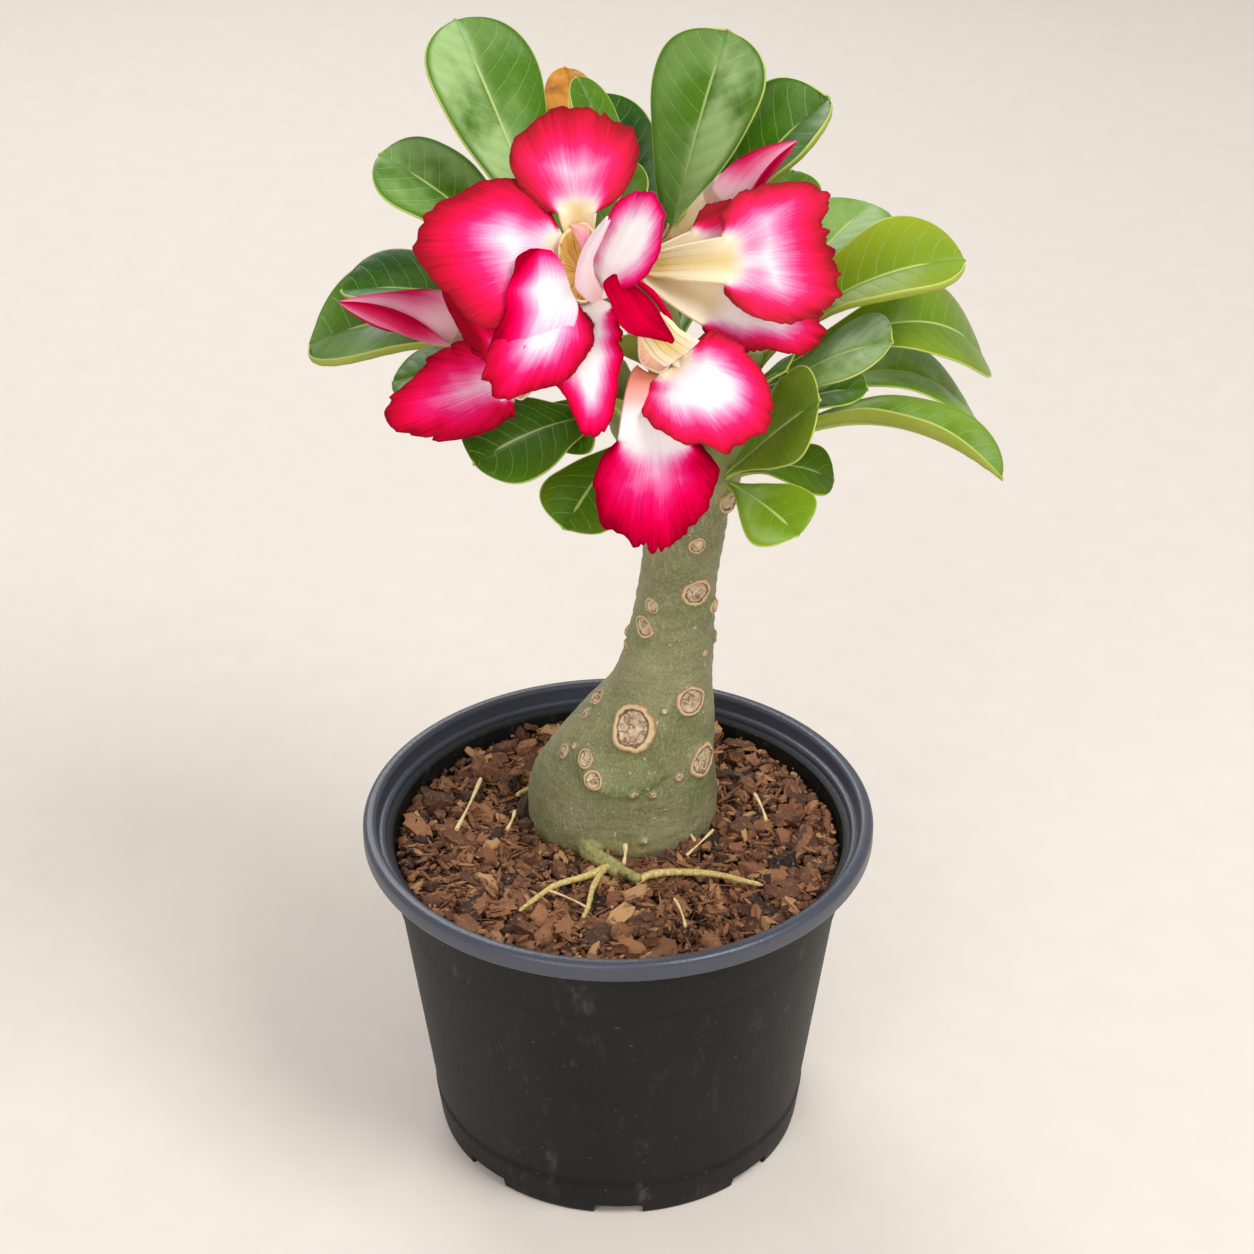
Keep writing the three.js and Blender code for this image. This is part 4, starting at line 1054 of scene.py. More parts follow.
def fused(shape, voxel, rounds):
    """The gathered tubes as one skin: remeshed by voxels and smoothed."""
    mesh = bpy.data.meshes.new("raw")
    mesh.from_pydata((np.concatenate(shape.points) * MM).tolist(), [], shape.faces)
    raw = bpy.data.objects.new("raw", mesh)
    bpy.context.scene.collection.objects.link(raw)
    remesh = raw.modifiers.new("skin", "REMESH")
    remesh.mode, remesh.voxel_size = "VOXEL", voxel * MM
    soften = raw.modifiers.new("soften", "SMOOTH")
    soften.factor, soften.iterations = 0.5, rounds
    apply_modifiers(raw)
    skin = raw.data
    columns = []
    for key in ("co", "normal"):
        values = np.zeros(len(skin.vertices) * 3)
        skin.vertices.foreach_get(key, values)
        columns.append(values.reshape(-1, 3))
    faces = [list(p.vertices) for p in skin.polygons]
    bpy.data.objects.remove(raw)
    return columns[0] / MM, columns[1], faces


def trunk_tubes():
    """The trunk, its branches and the start of its thick root, not yet joined."""
    body = Shape()
    z = np.linspace(TRUNK_RINGS[0][0], TRUNK_RINGS[-1][0], BARK["rings"])
    angle = np.arange(BARK["sides"]) * 2 * math.pi / BARK["sides"]
    cx, cy, a, b = (column[:, None] for column in trunk_table(z).T)
    extra = swelling(z[:, None], -angle[None])
    x, y = cx + (a + extra) * np.cos(angle), cy + (b + extra) * np.sin(angle)
    add_rings(body, np.stack([x, y, np.broadcast_to(z[:, None], x.shape)], -1))
    steps = BARK["steps"]
    for path, (thick, thin) in BRANCHES.values():
        t = np.linspace(0, 1, steps)
        add_rings(body, rings_along(bend_point(path, t), thick + (thin - thick) * t, 32))
    route, (thick, thin) = ROOTS[0]
    t = np.linspace(0, 0.75, steps)
    line = np.concatenate([between(route, t), np.full((steps, 1), ROOT_HEIGHT)], 1)
    add_rings(body, rings_along(line, 0.9 + thick + (thin - thick) * t, 16, SKY))
    return body


def lip_bulge(points):
    """1 along the swollen lip low on the trunk's front, and 0 away from it."""
    centre = trunk_table(points[:, 2])
    facing = np.arctan2(points[:, 1] - centre[:, 1], points[:, 0] - centre[:, 0])
    across = (np.degrees(facing) + LIP["facing"]) / LIP["spread"]
    above = points[:, 2] - LIP["height"] - LIP["smile"] * across**2
    return np.exp(-((above / np.where(above > 0, 4.0, 1.6)) ** 2)) * smooth(1.15, 0.7, np.abs(across))


def bark_relief(points, lumps, fine):
    """How far out the bark stands, how far it is from a scar in radii, and how fresh its green is."""
    out = 0.35 * lumps(points, 7.0) + 0.12 * fine(points * (1, 1, 2.2), 1.6)
    bulge = lip_bulge(points)
    out += 1.2 * bulge * (0.8 + 0.2 * lumps(points, 4.0))
    fresh = bulge * 0.9
    z = points[:, 2]
    out += 0.1 * np.sin(z * 1.3 + 2 * lumps(points, 9.0)) * smooth(140, 160, z)
    from_scar = np.full(len(points), FAR)
    for spot, outward, radius in scar_frames():
        away = points - spot
        depth = away @ outward
        flat = np.linalg.norm(away - depth[:, None] * outward, axis=1) / radius
        flat = flat * (1 + 0.1 * lumps(points + radius * 10, 2.2))
        flat = np.where(np.abs(depth) < radius + 3, flat, FAR)
        out += np.exp(-(((flat - 0.88) / 0.16) ** 2)) * (0.25 + 0.09 * radius)
        out += 0.35 * smooth(1.5, 0.9, flat)
        out += smooth(0.8, 0.6, flat) * (0.35 * fine(points, 0.8) - 0.1) * (radius > 2)
        out += smooth(1.2, 0.2, flat) * (radius < 2) * 0.7
        from_scar = np.minimum(from_scar, flat)
        under = np.linalg.norm(away + SKY * radius * 1.3, axis=1) / (radius * 1.6)
        fresh = np.maximum(fresh, 0.6 * smooth(1.2, 0.3, under) * (radius > 3))
    return out, from_scar, fresh


def make_trunk():
    """The trunk with its branches as one skin, and the roots that run over the mix."""
    points, normals, faces = fused(trunk_tubes(), BARK["voxel"], BARK["smoothing"])
    lumps, fine = noise_table(5), noise_table(6)
    out, from_scar, fresh = bark_relief(points, lumps, fine)
    above = points[:, 2] > SOIL_LEVEL - 4
    points = points + normals * (out * above)[:, None]
    shape = Shape()
    young = smooth(205, 226, points[:, 2])
    near_root = smooth(6, 2, np.abs(points[:, 2] - ROOT_HEIGHT)) * smooth(-7.5, -10.5, points[:, 1])
    shape.add(points, faces, from_scar=from_scar, fresh=fresh, young=young, root=near_root, old=1.0)
    steps = 60
    t = np.linspace(0, 1, steps)
    for number, (route, (thick, thin)) in enumerate(ROOTS):
        line = np.concatenate([between(route, t), np.zeros((steps, 1))], 1)
        line[:, 2] = ROOT_HEIGHT + ROOT_RISE * smooth(0, 0.15, t) + 0.5 * np.sin(7 * t + 2 * number) * t
        line[:, :2] += 0.35 * lumps(line + 30 * number, 3.0)[:, None] * t[:, None]
        radius = (thick + (thin - thick) * t) * (1 + 0.12 * lumps(line * 2, 2.4))
        rings = rings_along(line, radius * np.where(t > 0.97, 0.6, 1.0), 12, SKY)
        add_rings(shape, rings, root=1.0, from_scar=FAR, old=float(number == 0))
    shape.piece("trunk_bark", bark_material(), "trunk", "trunk")


# ---- Leaves ----

# What each leaf differs by: 0 dark to 1 light, how yellow, how wavy its margin is in millimetres, and how
# strong the painted sheen on it is, a painted highlight.
LEAF_LOOKS = {
    "leaf_left_1": (0.3, 0, 0.5, 1.15),
    "leaf_left_2": (0.3, 0, 0.9, 0.9),
    "leaf_left_3": (0.4, 0.05, 0.6, 0.4),
    "leaf_left_4": (0.0, 0, 0.5, 0.3),
    "leaf_left_6": (0.0, 0.08, 0.8, 0.0),
    "leaf_left_7": (0.1, 0.15, 0.5, 0.0),
    "leaf_centre_1": (0.35, 0, 0.6, 1.15),
    "leaf_centre_2": (0.2, 0, 1.8, 0.3),
    "leaf_centre_3": (0.5, 0, 0.3, 0.3),
    "leaf_centre_4": (0.0, 0, 0.3, 0.0),
    "leaf_right_2": (0.9, 0.05, 0.6, 0.8),
    "leaf_right_3": (0.8, 0.6, 0.7, 0.1),
    "leaf_right_4": (0.6, 0.3, 0.5, 0.1),
    "leaf_right_5": (0.85, 0, 0.5, 1.3),
    "leaf_right_7": (0.9, 0.1, 0.5, 1.0),
    "leaf_right_8": (0.7, 0.2, 0.5, 0.6),
    "leaf_right_10": (0.6, 0.25, 0.5, 0.1),
    "leaf_right_11": (0.8, 0.25, 0.4, 0.8),
    "leaf_right_12": (0.4, 0.1, 0.4, 0.2),
    "young_leaf_8": (0.1, 0.1, 0.5, 0.0),
    "young_leaf_9": (0.0, 0.1, 0.5, 0.0),
    "leaf_dried": (0.5, 0, 2.0, 0.0),
}
PLAIN_LOOK = (0.4, 0.05, 0.5, 0.3)
# The side veins: their spacing in millimetres, what it gains per millimetre of the leaf's width, how far they
# sweep forward, by how much of the spacing the two halves differ, and how high the blade bulges between them.
VEINS = {"spacing": 3.2, "per_width": 0.045, "sweep": 0.5, "shift": 0.42, "quilt": 0.08}
# The groove over the midrib and the keel under it.
GROOVE = {"height": 0.22, "width": 0.7}
KEEL = {"height": 1.3, "width": 0.9}
# The leaves whose painted sheen, a painted highlight, lies on one half.
PAINTED_SHEEN_SIDE = {"leaf_left_1": -1, "leaf_centre_1": 1}
# Leaves with an upturned margin: which half, where the turn begins as a share of its width, and its degrees.
UPTURNED = {
    "leaf_left_3": (-1, 0.62, 95),
    "leaf_left_4": (-1, 0.6, 60),
    "leaf_centre_2": (1, 0.7, 70),
    "leaf_right_3": (1, 0.6, 95),
    "leaf_right_5": (1, 0.85, 40),
    "leaf_right_8": (1, 0.4, 75),
}


def leaf_section(name, v, fold):
    """How far out and how high the blade's section is at each column, as shares of its half width."""
    half, begin, turn = UPTURNED.get(name, (1, 0.5, 0))
    steps = np.linspace(0, 1, 201)
    out, lift = np.zeros(v.shape), np.zeros(v.shape)
    for sign in (-1, 1):
        extra = math.radians(turn) * smooth(begin, 1.0, steps) if sign == half else 0 * steps
        slope = math.radians(fold) * (1 - steps) + extra
        reach = np.concatenate([[0], np.cumsum(np.cos((slope[1:] + slope[:-1]) / 2))]) / 200
        climb = np.concatenate([[0], np.cumsum(np.sin((slope[1:] + slope[:-1]) / 2))]) / 200
        chosen = np.sign(v) == sign
        out[chosen] = sign * np.interp(np.abs(v[chosen]), steps, reach)
        lift[chosen] = np.interp(np.abs(v[chosen]), steps, climb)
    return out, lift


def leaf_profile(s):
    return s ** LEAF["narrow"] * np.sqrt(np.clip(1 - s ** LEAF["blunt"], 0, None))


WIDEST = float(leaf_profile(np.linspace(0, 1, 200)).max())


def leaf_axes(branch, height, tip, roll):
    """A leaf's root on its branch, its chord, and its directions upwards and sideways."""
    path, (thick, thin) = BRANCHES[branch]
    foot, grain = bend_point(path, height), bend_direction(path, height)
    away = point(tip) - foot
    away = unit(away - grain * (away @ grain))
    root = foot + away * (thick + (thin - thick) * height - LEAF["sunk"])
    chord = point(tip) - root
    ahead = unit(chord)
    up = turned(unit(SKY - ahead * (SKY @ ahead)), ahead, math.radians(roll))
    return root, chord, up, np.cross(ahead, up)


def leaf_outline(s, width):
    """The half width along a leaf: a stalk that widens into the blade, and a small point at the tip."""
    blade = leaf_profile(np.minimum(s / LEAF["mucro"], 1)) / WIDEST * width / 2
    stalk = LEAF["petiole"] / 2 * smooth(0.5, 0.1, s)
    tip_point = 0.12 + 0.3 * smooth(1.0, LEAF["mucro"] - 0.02, s)
    return np.maximum(np.sqrt(blade**2 + stalk**2), tip_point)


def vein_phase(s, v, from_rib, length, width, seed):
    """How many side veins lie before each point. The veins sweep forward and hook near the margin."""
    hook = 2.0 * np.abs(v) ** 2 + 3.0 * np.abs(v) ** 8
    spacing = VEINS["spacing"] + VEINS["per_width"] * width
    before = (s * length - VEINS["sweep"] * from_rib - hook) / spacing
    return before + np.where(v > 0, VEINS["shift"], 0.0) + 0.1 * seed


def leaf_relief(s, v, phase, wave, seed):
    """The quilting between the veins and the waves of the margin, in millimetres."""
    quilt = VEINS["quilt"] * np.cos(2 * math.pi * phase) * 4 * np.abs(v) * (1 - np.abs(v))
    waving = np.sin(s * 9.5 + 1.7 * seed + np.where(v > 0, 1.4, 0)) + 0.5 * np.sin(s * 21 + seed)
    return (quilt + 0.7 * wave * waving * np.abs(v) ** 2.5) * smooth(0.1, 0.4, s)


def ridge_along(from_rib, row):
    """A rounded ridge along the midrib, by its height and half width."""
    return row["height"] * np.exp(-((from_rib / row["width"]) ** 2))


def make_leaf(name, material, slot):
    branch, height, tip, width, roll, fold, bow, sway = {**LEAVES, **YOUNG_LEAVES}[name]
    tone, yellow, wave, sheen = LEAF_LOOKS.get(name, PLAIN_LOOK)
    seed = [*sorted(LEAVES), *YOUNG_LEAVES].index(name)
    root, chord, up, side = leaf_axes(branch, height, tip, roll)
    length = float(np.linalg.norm(chord))
    s = np.sin(np.linspace(0, 1, LEAF["rows"] + 1) * math.pi / 2)[:, None]
    v = np.array([-c for c in reversed(LEAF_COLUMNS)] + [0.0] + LEAF_COLUMNS)[None]
    half = leaf_outline(s, width)
    from_rib = np.abs(v) * half
    phase = vein_phase(s, v, from_rib, length, width, seed)
    out, lift = leaf_section(name, v, fold)
    arch = 4 * s * (1 - s) * length
    rise = bow * arch + lift * half + leaf_relief(s, v, phase, wave, seed)
    middle = root + chord * s[..., None] + up * rise[..., None] + side * (sway * arch + out * half)[..., None]
    stem = smooth(0.32, 0.04, s)
    rounded = np.sqrt(np.clip(1 - 0.96 * v**2, 0, 1))
    keel = ridge_along(from_rib, KEEL) * smooth(1.0, 0.2, s) * (1 - stem)
    thickness = LEAF["thickness"] * (1 - 0.35 * np.abs(v) ** 6) + keel
    thickness = thickness * (1 - stem) + LEAF["petiole"] * 0.92 * rounded * stem
    normal = unit(np.cross(np.gradient(middle, axis=1), np.gradient(middle, axis=0)))
    sunk = ridge_along(from_rib, GROOVE) * smooth(0.1, 0.4, s) + 0.45 * keel
    shape = Shape()
    add_sheet(
        shape,
        middle - normal * sunk[..., None],
        thickness,
        rib=from_rib + 2.0 * smooth(0.8, 1.0, s),
        margin=(1 - np.abs(v)) * half,
        phase=phase,
        tone=tone,
        sheen=sheen * (1 - 0.75 * smooth(0.25, -0.25, PAINTED_SHEEN_SIDE.get(name, 0) * v)),
        yellow=yellow * (0.4 + 0.6 * np.abs(v) ** 1.5),
    )
    nodes = [name] if name in LEAVES else []
    shape.piece(name + "_blade", material, slot, *nodes)


# ---- Blooms and buds ----

# What each petal differs by: how deep its colour reaches in from the margin in millimetres, how much darker
# it is, how yellow its claw is, how clear the lines on its claw are, and how ragged its margin is.
PETAL_LOOKS = {
    "bloom_1": [
        (15, 0.0, 1.0, 0.15, 0.6),
        (18, 0.04, 0.6, 0.4, 0.7),
        (11, 0.02, 0.3, 0.2, 0.9),
        (6.5, -0.04, 0.2, 0.1, 0.9),
        (8, -0.3, 0.0, 0.0, 0.7),
    ],
    "bloom_2": [
        (11, 0.0, 1.0, 0.8, 0.8),
        (6.5, 0.0, 0.8, 0.5, 0.9),
        (12, 0.2, 0.8, 0.5, 1.0),
        (12, 0.2, 0.8, 0.5, 1.0),
    ],
    "bloom_3": [
        (10, -0.04, 0.7, 0.4, 0.7),
        (17, 0.0, 0.0, 0.0, 0.8),
        (9, 0.5, 0.0, 0.0, 0.7),
        (10, 0.1, 0.5, 0.2, 0.8),
    ],
    "bloom_4": [
        (15.5, 0.02, 0.3, 0.0, 0.9),
        (14, 0.15, 0.3, 0.0, 0.8),
        (14, 0.15, 0.3, 0.0, 0.8),
    ],
}
# The petals whose claws are salmon pink, by bloom and number.
BLUSHING = {("bloom_3", 1): 1.0, ("bloom_1", 4): 0.5}
# How golden the inside of each bloom's funnel is.
THROAT_GOLD = {"bloom_1": 1.0, "bloom_2": 0.5, "bloom_3": 0.0, "bloom_4": 0.0}
# How far up each funnel its inside is closed, as a share of its length.
THROAT_FLOOR = {"bloom_1": 0.7, "bloom_2": 0.8, "bloom_3": 0.93, "bloom_4": 0.9}
PETAL_ROWS = {"claw": 12, "blade": 48, "columns": 120}


def from_edge(across, along, blade_from):
    """How far each point of a petal's flat pattern is from its margin."""
    sides = [(across[blade_from:, j], along[blade_from:, j]) for j in (0, -1)]
    x = np.concatenate([across[-1], sides[0][0], sides[1][0]])
    y = np.concatenate([along[-1], sides[0][1], sides[1][1]])
    gaps = np.hypot(across[..., None] - x, along[..., None] - y)
    return gaps.min(-1)


def mouth_reach(axis, direction, size):
    """How far an oval mouth's lip is from its middle, in a direction across its axis."""
    level = unit(EAST - axis * (EAST @ axis))
    upright = np.cross(level, axis)
    return 1 / math.hypot(direction @ level / size[0], direction @ upright / size[1])


def ragged_margin(margin, v, angle, seed, wave):
    """The distance to the margin at each column: the table's, with scallops, lobes and a few torn notches."""
    distance = between(np.array(margin, float)[:, None], (v[0] + 1) / 2)[:, 0]
    noise = noise_table(seed)
    around = np.stack([angle[0] * 3, angle[0] * 0 + seed, angle[0] * 0], -1)
    lobes = np.abs(noise(around + 9, 0.16)) + 0.45 * np.abs(noise(around + 20, 0.08))
    scallops = 0.9 * noise(around, 0.3) + 1.1 * lobes - 0.5
    notches = np.clip(noise(around + 31, 0.1) - 0.8, 0, 1) * 4
    return distance + wave * (scallops - notches) * np.minimum(distance / 16, 1), around


def petal_axes(mouth, axis, mouth_size, petal):
    """A petal's bent midline from inside the mouth to its tip, its way outwards and the lip's distance."""
    tip, rise, turn = petal[0], petal[6], petal[7]
    end = point(tip)
    outward = unit(end - mouth - axis * ((end - mouth) @ axis))
    lip = turned(outward, axis, math.radians(turn))
    reach = mouth_reach(axis, lip, mouth_size)
    root = mouth + lip * reach * PETAL["inset"] - axis * PETAL["sunk"]
    bend = mouth + lip * (reach + PETAL["lip"]) + axis * rise
    return [root, bend, end], outward, reach


def petal_rows():
    """For each row of a petal: how far up the claw it starts, and how far out it fans towards the margin."""
    claw_rows, blade_rows = PETAL_ROWS["claw"], PETAL_ROWS["blade"]
    claw_steps = np.linspace(0, 1, claw_rows, endpoint=False)
    blade_steps = np.linspace(0, math.pi / 2, blade_rows + 1)
    start = np.concatenate([claw_steps, np.ones(blade_rows + 1)])[:, None]
    share = np.concatenate([np.zeros(claw_rows), np.sin(blade_steps)])[:, None]
    return start, share * (3 - share) / 2


def petal_lift(fan, angle, around, number, wave, seed):
    """How far the blade's ripples, frills and pleats lift it."""
    noise = noise_table(seed + 500)
    ripple = PETAL["ripple"] * fan**3 * np.sin(PETAL["waves"] * angle + PETAL["phase"] * number)
    frill = 0.8 * noise(around, 0.4) + 0.8 * noise(around + 5, 0.14) + 0.35 * noise(around + 8, 0.07)
    pleats = 0.14 * fan * (1 - fan**6) * noise(around, 0.1)
    return ripple + wave * fan**5 * frill + pleats


def add_petal(shape, mouth, axis, mouth_size, petal, number, look, blush, seed):
    _, claw, foot_width, claw_width, opening, roll, _, _, margin = petal
    depth, dark, yellow, lines, wave = look
    middle, outward, reach = petal_axes(mouth, axis, mouth_size, petal)
    v = np.linspace(-1, 1, PETAL_ROWS["columns"] + 1)[None]
    angle = v * math.radians(opening)
    start, fan = petal_rows()
    distance, around = ragged_margin(margin, v, angle, seed, wave)
    claw_half = (foot_width + (claw_width - foot_width) * start) / 2
    across = claw_half * v * (1 - fan) + distance * np.sin(angle) * fan
    along = (claw - PETAL["shorter"] * reach) * start + distance * np.cos(angle) * fan
    s = along / bend_length(middle)
    tangent = bend_direction(middle, np.clip(s, 0, 1))
    side = turned(np.broadcast_to(np.cross(outward, axis), tangent.shape), tangent, math.radians(roll) * s)
    normal = unit(np.cross(side, tangent))
    trough = PETAL["trough"] * claw_half * (1 - fan) * (v**2 - 1 / 3)
    lift = petal_lift(fan, angle, around, number, wave, seed) + trough - across**2 / (2 * PETAL["curl"])
    points = bend_point(middle, s) + side * across[..., None] + normal * lift[..., None]
    edge = from_edge(across, along, PETAL_ROWS["claw"])
    colour = 1 - np.clip(edge / depth, 0, 1)
    add_sheet(
        shape,
        points,
        PETAL["thickness"] * (1 + 0.8 * (1 - fan)),
        flow=colour * smooth(0.0, 0.5, fan) + dark * smooth(0.1, 0.6, fan),
        edge=edge + 3.0 * (start < 1),
        reach=fan,
        angle=angle,
        lane=v * (0.6 + 0.4 * start),
        claw=1 - 0.75 * start + 0 * v,
        yellow=yellow,
        lines=lines,
        blush=blush,
        seed=seed * 3.7,
    )


# The petal that is shown by its fold alone, by bloom and number.
FOLDED = {("bloom_3", 2)}
# Parts of the petals that roll or fold over the throats, between two edges from foot to tip. Each has its
# bloom, edges, bulge in millimetres, the colour's place in the petal's range along it (foot, middle, tip) and
# at both edges, and its blush.
FOLDS = {
    "rolled_margin": (
        "bloom_1",
        [
            (-4.2, -38, 284), (-9.3, -40, 287), (-9.6, -43, 293), (-8.4, -46, 299),
            (-5.6, -48, 305), (-2, -49.5, 310),
        ],
        [
            (-3.6, -38, 284), (-3.2, -41, 287), (-5.4, -44, 293), (-5.6, -46, 298),
            (-3.6, -48, 303.5), (-1.4, -49.5, 309),
        ],
        1.6,
        (0.16, 0.1, 0.12),
        (0.0, 0.0),
        0.3,
    ),
    "crimson_flap": (
        "bloom_3",
        [
            (-1, -45, 293.2), (-3.2, -47, 291.6), (-1.3, -49, 288), (0.9, -50, 283),
            (4, -50, 280), (8.4, -50, 279), (13, -49, 277.6),
        ],
        [
            (1, -44, 293.4), (3.6, -44, 291), (6.2, -45, 288.6), (9, -46, 286), (11, -47, 283),
            (13, -48, 280), (14, -49, 278),
        ],
        1.4,
        (1.0, 0.88, 0.96),
        (0.06, 0.06),
        0.0,
    ),
    "crimson_lobe": (
        "bloom_3",
        [(4, -43, 291), (7, -43, 288.4), (9.6, -43, 285.4), (11.4, -43, 282), (12.4, -44, 280)],
        [(5.4, -43, 291), (8.8, -43, 288.6), (11, -43, 285.6), (13.2, -43, 282), (13.8, -44, 280)],
        0.6,
        (0.9, 0.9, 0.9),
        (0.0, 0.0),
        0.0,
    ),
    "cream_claw": (
        "bloom_3",
        [(4.6, -45, 279), (6.4, -45.6, 276), (8.6, -45.6, 272.6), (12, -43.4, 268.6)],
        [(11, -43, 283), (13.4, -44, 281), (16.4, -44.6, 278.2), (20.4, -42.4, 275)],
        0.8,
        (0.0, 0.0, 0.0),
        (0.1, 0.1),
        0.0,
    ),
    "shoulder": (
        "bloom_1",
        [
            (-31.1, -47.4, 273.6), (-29.3, -46.9, 279.2), (-27, -45.9, 284), (-26.7, -44.2, 289),
            (-24.8, -42.4, 293.2), (-24, -40.6, 296.1), (-20.9, -38.6, 297.4),
        ],
        [
            (-15.5, -48.4, 274), (-11, -46.6, 279.3), (-9.3, -43, 283.8), (-10.8, -41, 287.7),
            (-12.2, -39.8, 291.4), (-13.7, -38.4, 294.5), (-15.9, -37.8, 296.8),
        ],
        0.8,
        (0.42, 0.02, 0.85),
        (0.8, 0.0),
        0.0,
    ),
    "pink_flap": (
        "bloom_1",
        [(-11.4, -37.5, 303.2), (-10, -37.5, 300.6), (-8.4, -37.5, 297)],
        [(-11, -37.5, 303.6), (-6.6, -37.5, 302.6), (-7.4, -37.5, 297)],
        0.6,
        (0.3, 0.36, 0.4),
        (0.0, 0.0),
        0.9,
    ),
}


def add_fold(shape, left, right, bulge, flow, edge_flow, blush, seed):
    """A sheet between two smooth edges, bulging towards the front, with fine pleats along it."""
    t = np.linspace(0, 1, 60)
    v = np.linspace(-1, 1, 41)[None]
    left, right = between(left, t)[:, None], between(right, t)[:, None]
    along = np.gradient((left + right) / 2, axis=0)
    front = unit(np.cross(right - left + 1e-6, along))
    front = front * np.where(front[..., 1:2] > 0, -1, 1)
    noise = noise_table(seed)
    lane = np.stack([v + 0 * t[:, None], 0.35 * t[:, None] + 0 * v, 0 * v * t[:, None]], -1)
    height = bulge * (1 - v**2) + 0.3 * noise(lane, 0.2)
    down = t[:, None, None] * (9, 0.35, 0) + seed
    wave = (left - right) * 0.035 * noise(down, 0.8)[..., None]
    middle = left * (1 - v[..., None]) / 2 + right * (1 + v[..., None]) / 2 + wave * v[..., None]
    middle = middle + front * height[..., None]
    side_flow = np.clip(-v, 0, 1) ** 0.9 * edge_flow[0] + np.clip(v, 0, 1) ** 0.9 * edge_flow[1]
    colour = np.interp(t, [0, 0.5, 1], flow)[:, None] + side_flow
    edge = (1 - np.abs(v)) * np.linalg.norm(right - left, axis=-1) / 2
    facing = np.sum(unit(np.cross(np.gradient(middle, axis=1), np.gradient(middle, axis=0))) * front) < 0
    add_sheet(
        shape,
        middle[:, ::-1] if facing else middle,
        PETAL["thickness"],
        flow=colour[:, ::-1] if facing else colour,
        edge=edge + 1.0,
        reach=1.0,
        angle=0.3 * v,
        claw=1.0 - 0.5 * t[:, None] + 0 * v,
        yellow=1.0 if flow[1] == 0 else 0.0,
        lane=v,
        lines=1.0,
        blush=blush * (1 - 0.8 * t[:, None]) * (0.5 + 0.5 * np.abs(v)),
        seed=seed * 3.7,
    )


def shoot_point(branch, base, offset):
    """Where a stalk leaves its shoot, on the side towards its bloom."""
    tip = point(BRANCHES[branch][0][2])
    away = unit((base - tip) * (1, 1, 0))
    return tip + away * offset - SKY * PEDICEL["radius"]


def add_stalk(shape, branch, base, offset):
    root = shoot_point(branch, base, offset)
    bend = root + (base - root) * PEDICEL["bend"] - SKY * PEDICEL["sag"]
    t = np.linspace(0, 1, 16)
    line = bend_point([root, bend, base], t)
    rings = rings_along(line, PEDICEL["radius"] * (1 + 0.25 * t[:, None] ** 2), 16)
    add_rings(shape, rings, up=0.2 * t[:, None], pink=0.15)


def add_sepals(shape, base, axis, radius):
    """Five narrow sepals that hold the foot of the funnel."""
    first = unit(np.cross(axis, EAST))
    for k in range(5):
        out = turned(first, axis, 2 * math.pi * k / 5)
        across = np.cross(axis, out)
        t = np.linspace(0, 1, 12)[:, None]
        v = np.linspace(-1, 1, 7)[None]
        half = 2.0 * np.sqrt(t * 0.9 + 0.1) * (1 - t**2.4) + 0.15
        bulge = radius * (0.5 + 0.5 * smooth(0, 0.3, t)) + 0.5 + 1.2 * t**3 - 0.35 * v**2 * half
        points = base + axis * (8.5 * t - 1.5)[..., None] + out * bulge[..., None]
        points = points + across * (half * v)[..., None]
        add_sheet(shape, points, 0.6, up=0.12 + 0.1 * t, pink=0.5 * t + 0.2 * np.abs(v))


def make_bloom(name, petal_skin, throat_skin):
    row = BLOOMS[name]
    base, mouth, mouth_size = point(row["base"]), point(row["mouth"]), row["mouth_size"]
    axis = unit(mouth - base)
    sides, rings = 60, 30
    t = np.linspace(0, 1, rings)
    line = np.concatenate([t, t[::-1]])[:, None]
    inside = np.concatenate([np.zeros(rings), np.ones(rings)])[:, None]
    level = unit(EAST - axis * (EAST @ axis))
    upright = np.cross(level, axis)
    angle = np.arange(sides)[None] * 2 * math.pi / sides
    foot = FUNNEL["base_radius"]
    tube = base + (mouth - base) * line[..., None]
    for reach, side, turn in zip(mouth_size, (level, upright), (np.cos(angle), np.sin(angle))):
        half = foot + (reach - foot) * line ** FUNNEL["flare"]
        half = half * (1 + 0.04 * np.cos(5 * angle)) - FUNNEL["wall"] * inside
        half = np.where((inside > 0) & (line < THROAT_FLOOR[name]), 0.3, half)
        tube = tube + side * (half * turn)[..., None]
    shape = Shape()
    gold = THROAT_GOLD[name]
    add_rings(shape, tube[:, ::-1], up=0.25 + 0.75 * line, inside=inside, angle=angle[:, ::-1], gold=gold)
    add_stalk(shape, row["branch"], base, PEDICEL["offset"])
    add_sepals(shape, base, axis, FUNNEL["base_radius"])
    shape.piece(name + "_tube", throat_skin, "bud")
    petals = Shape()
    for number, petal in enumerate(row["petals"]):
        if (name, number) in FOLDED:
            continue
        look = PETAL_LOOKS[name][number]
        blush = BLUSHING.get((name, number), 0.0)
        add_petal(petals, mouth, axis, mouth_size, petal, number, look, blush, 10 * int(name[-1]) + number)
    for number, (bloom, left, right, bulge, flow, edge_flow, blush) in enumerate(FOLDS.values()):
        if bloom == name:
            add_fold(petals, left, right, bulge, flow, edge_flow, blush, 70 + number)
    petals.piece(name + "_petals", petal_skin, "petal", name)


# Where the first fold of each bud's furled petals starts, in radians about its axis, and which way it furls.
BUD_TWIST = {"bud_1": (0.4, 1), "bud_2": (1.5, -1)}


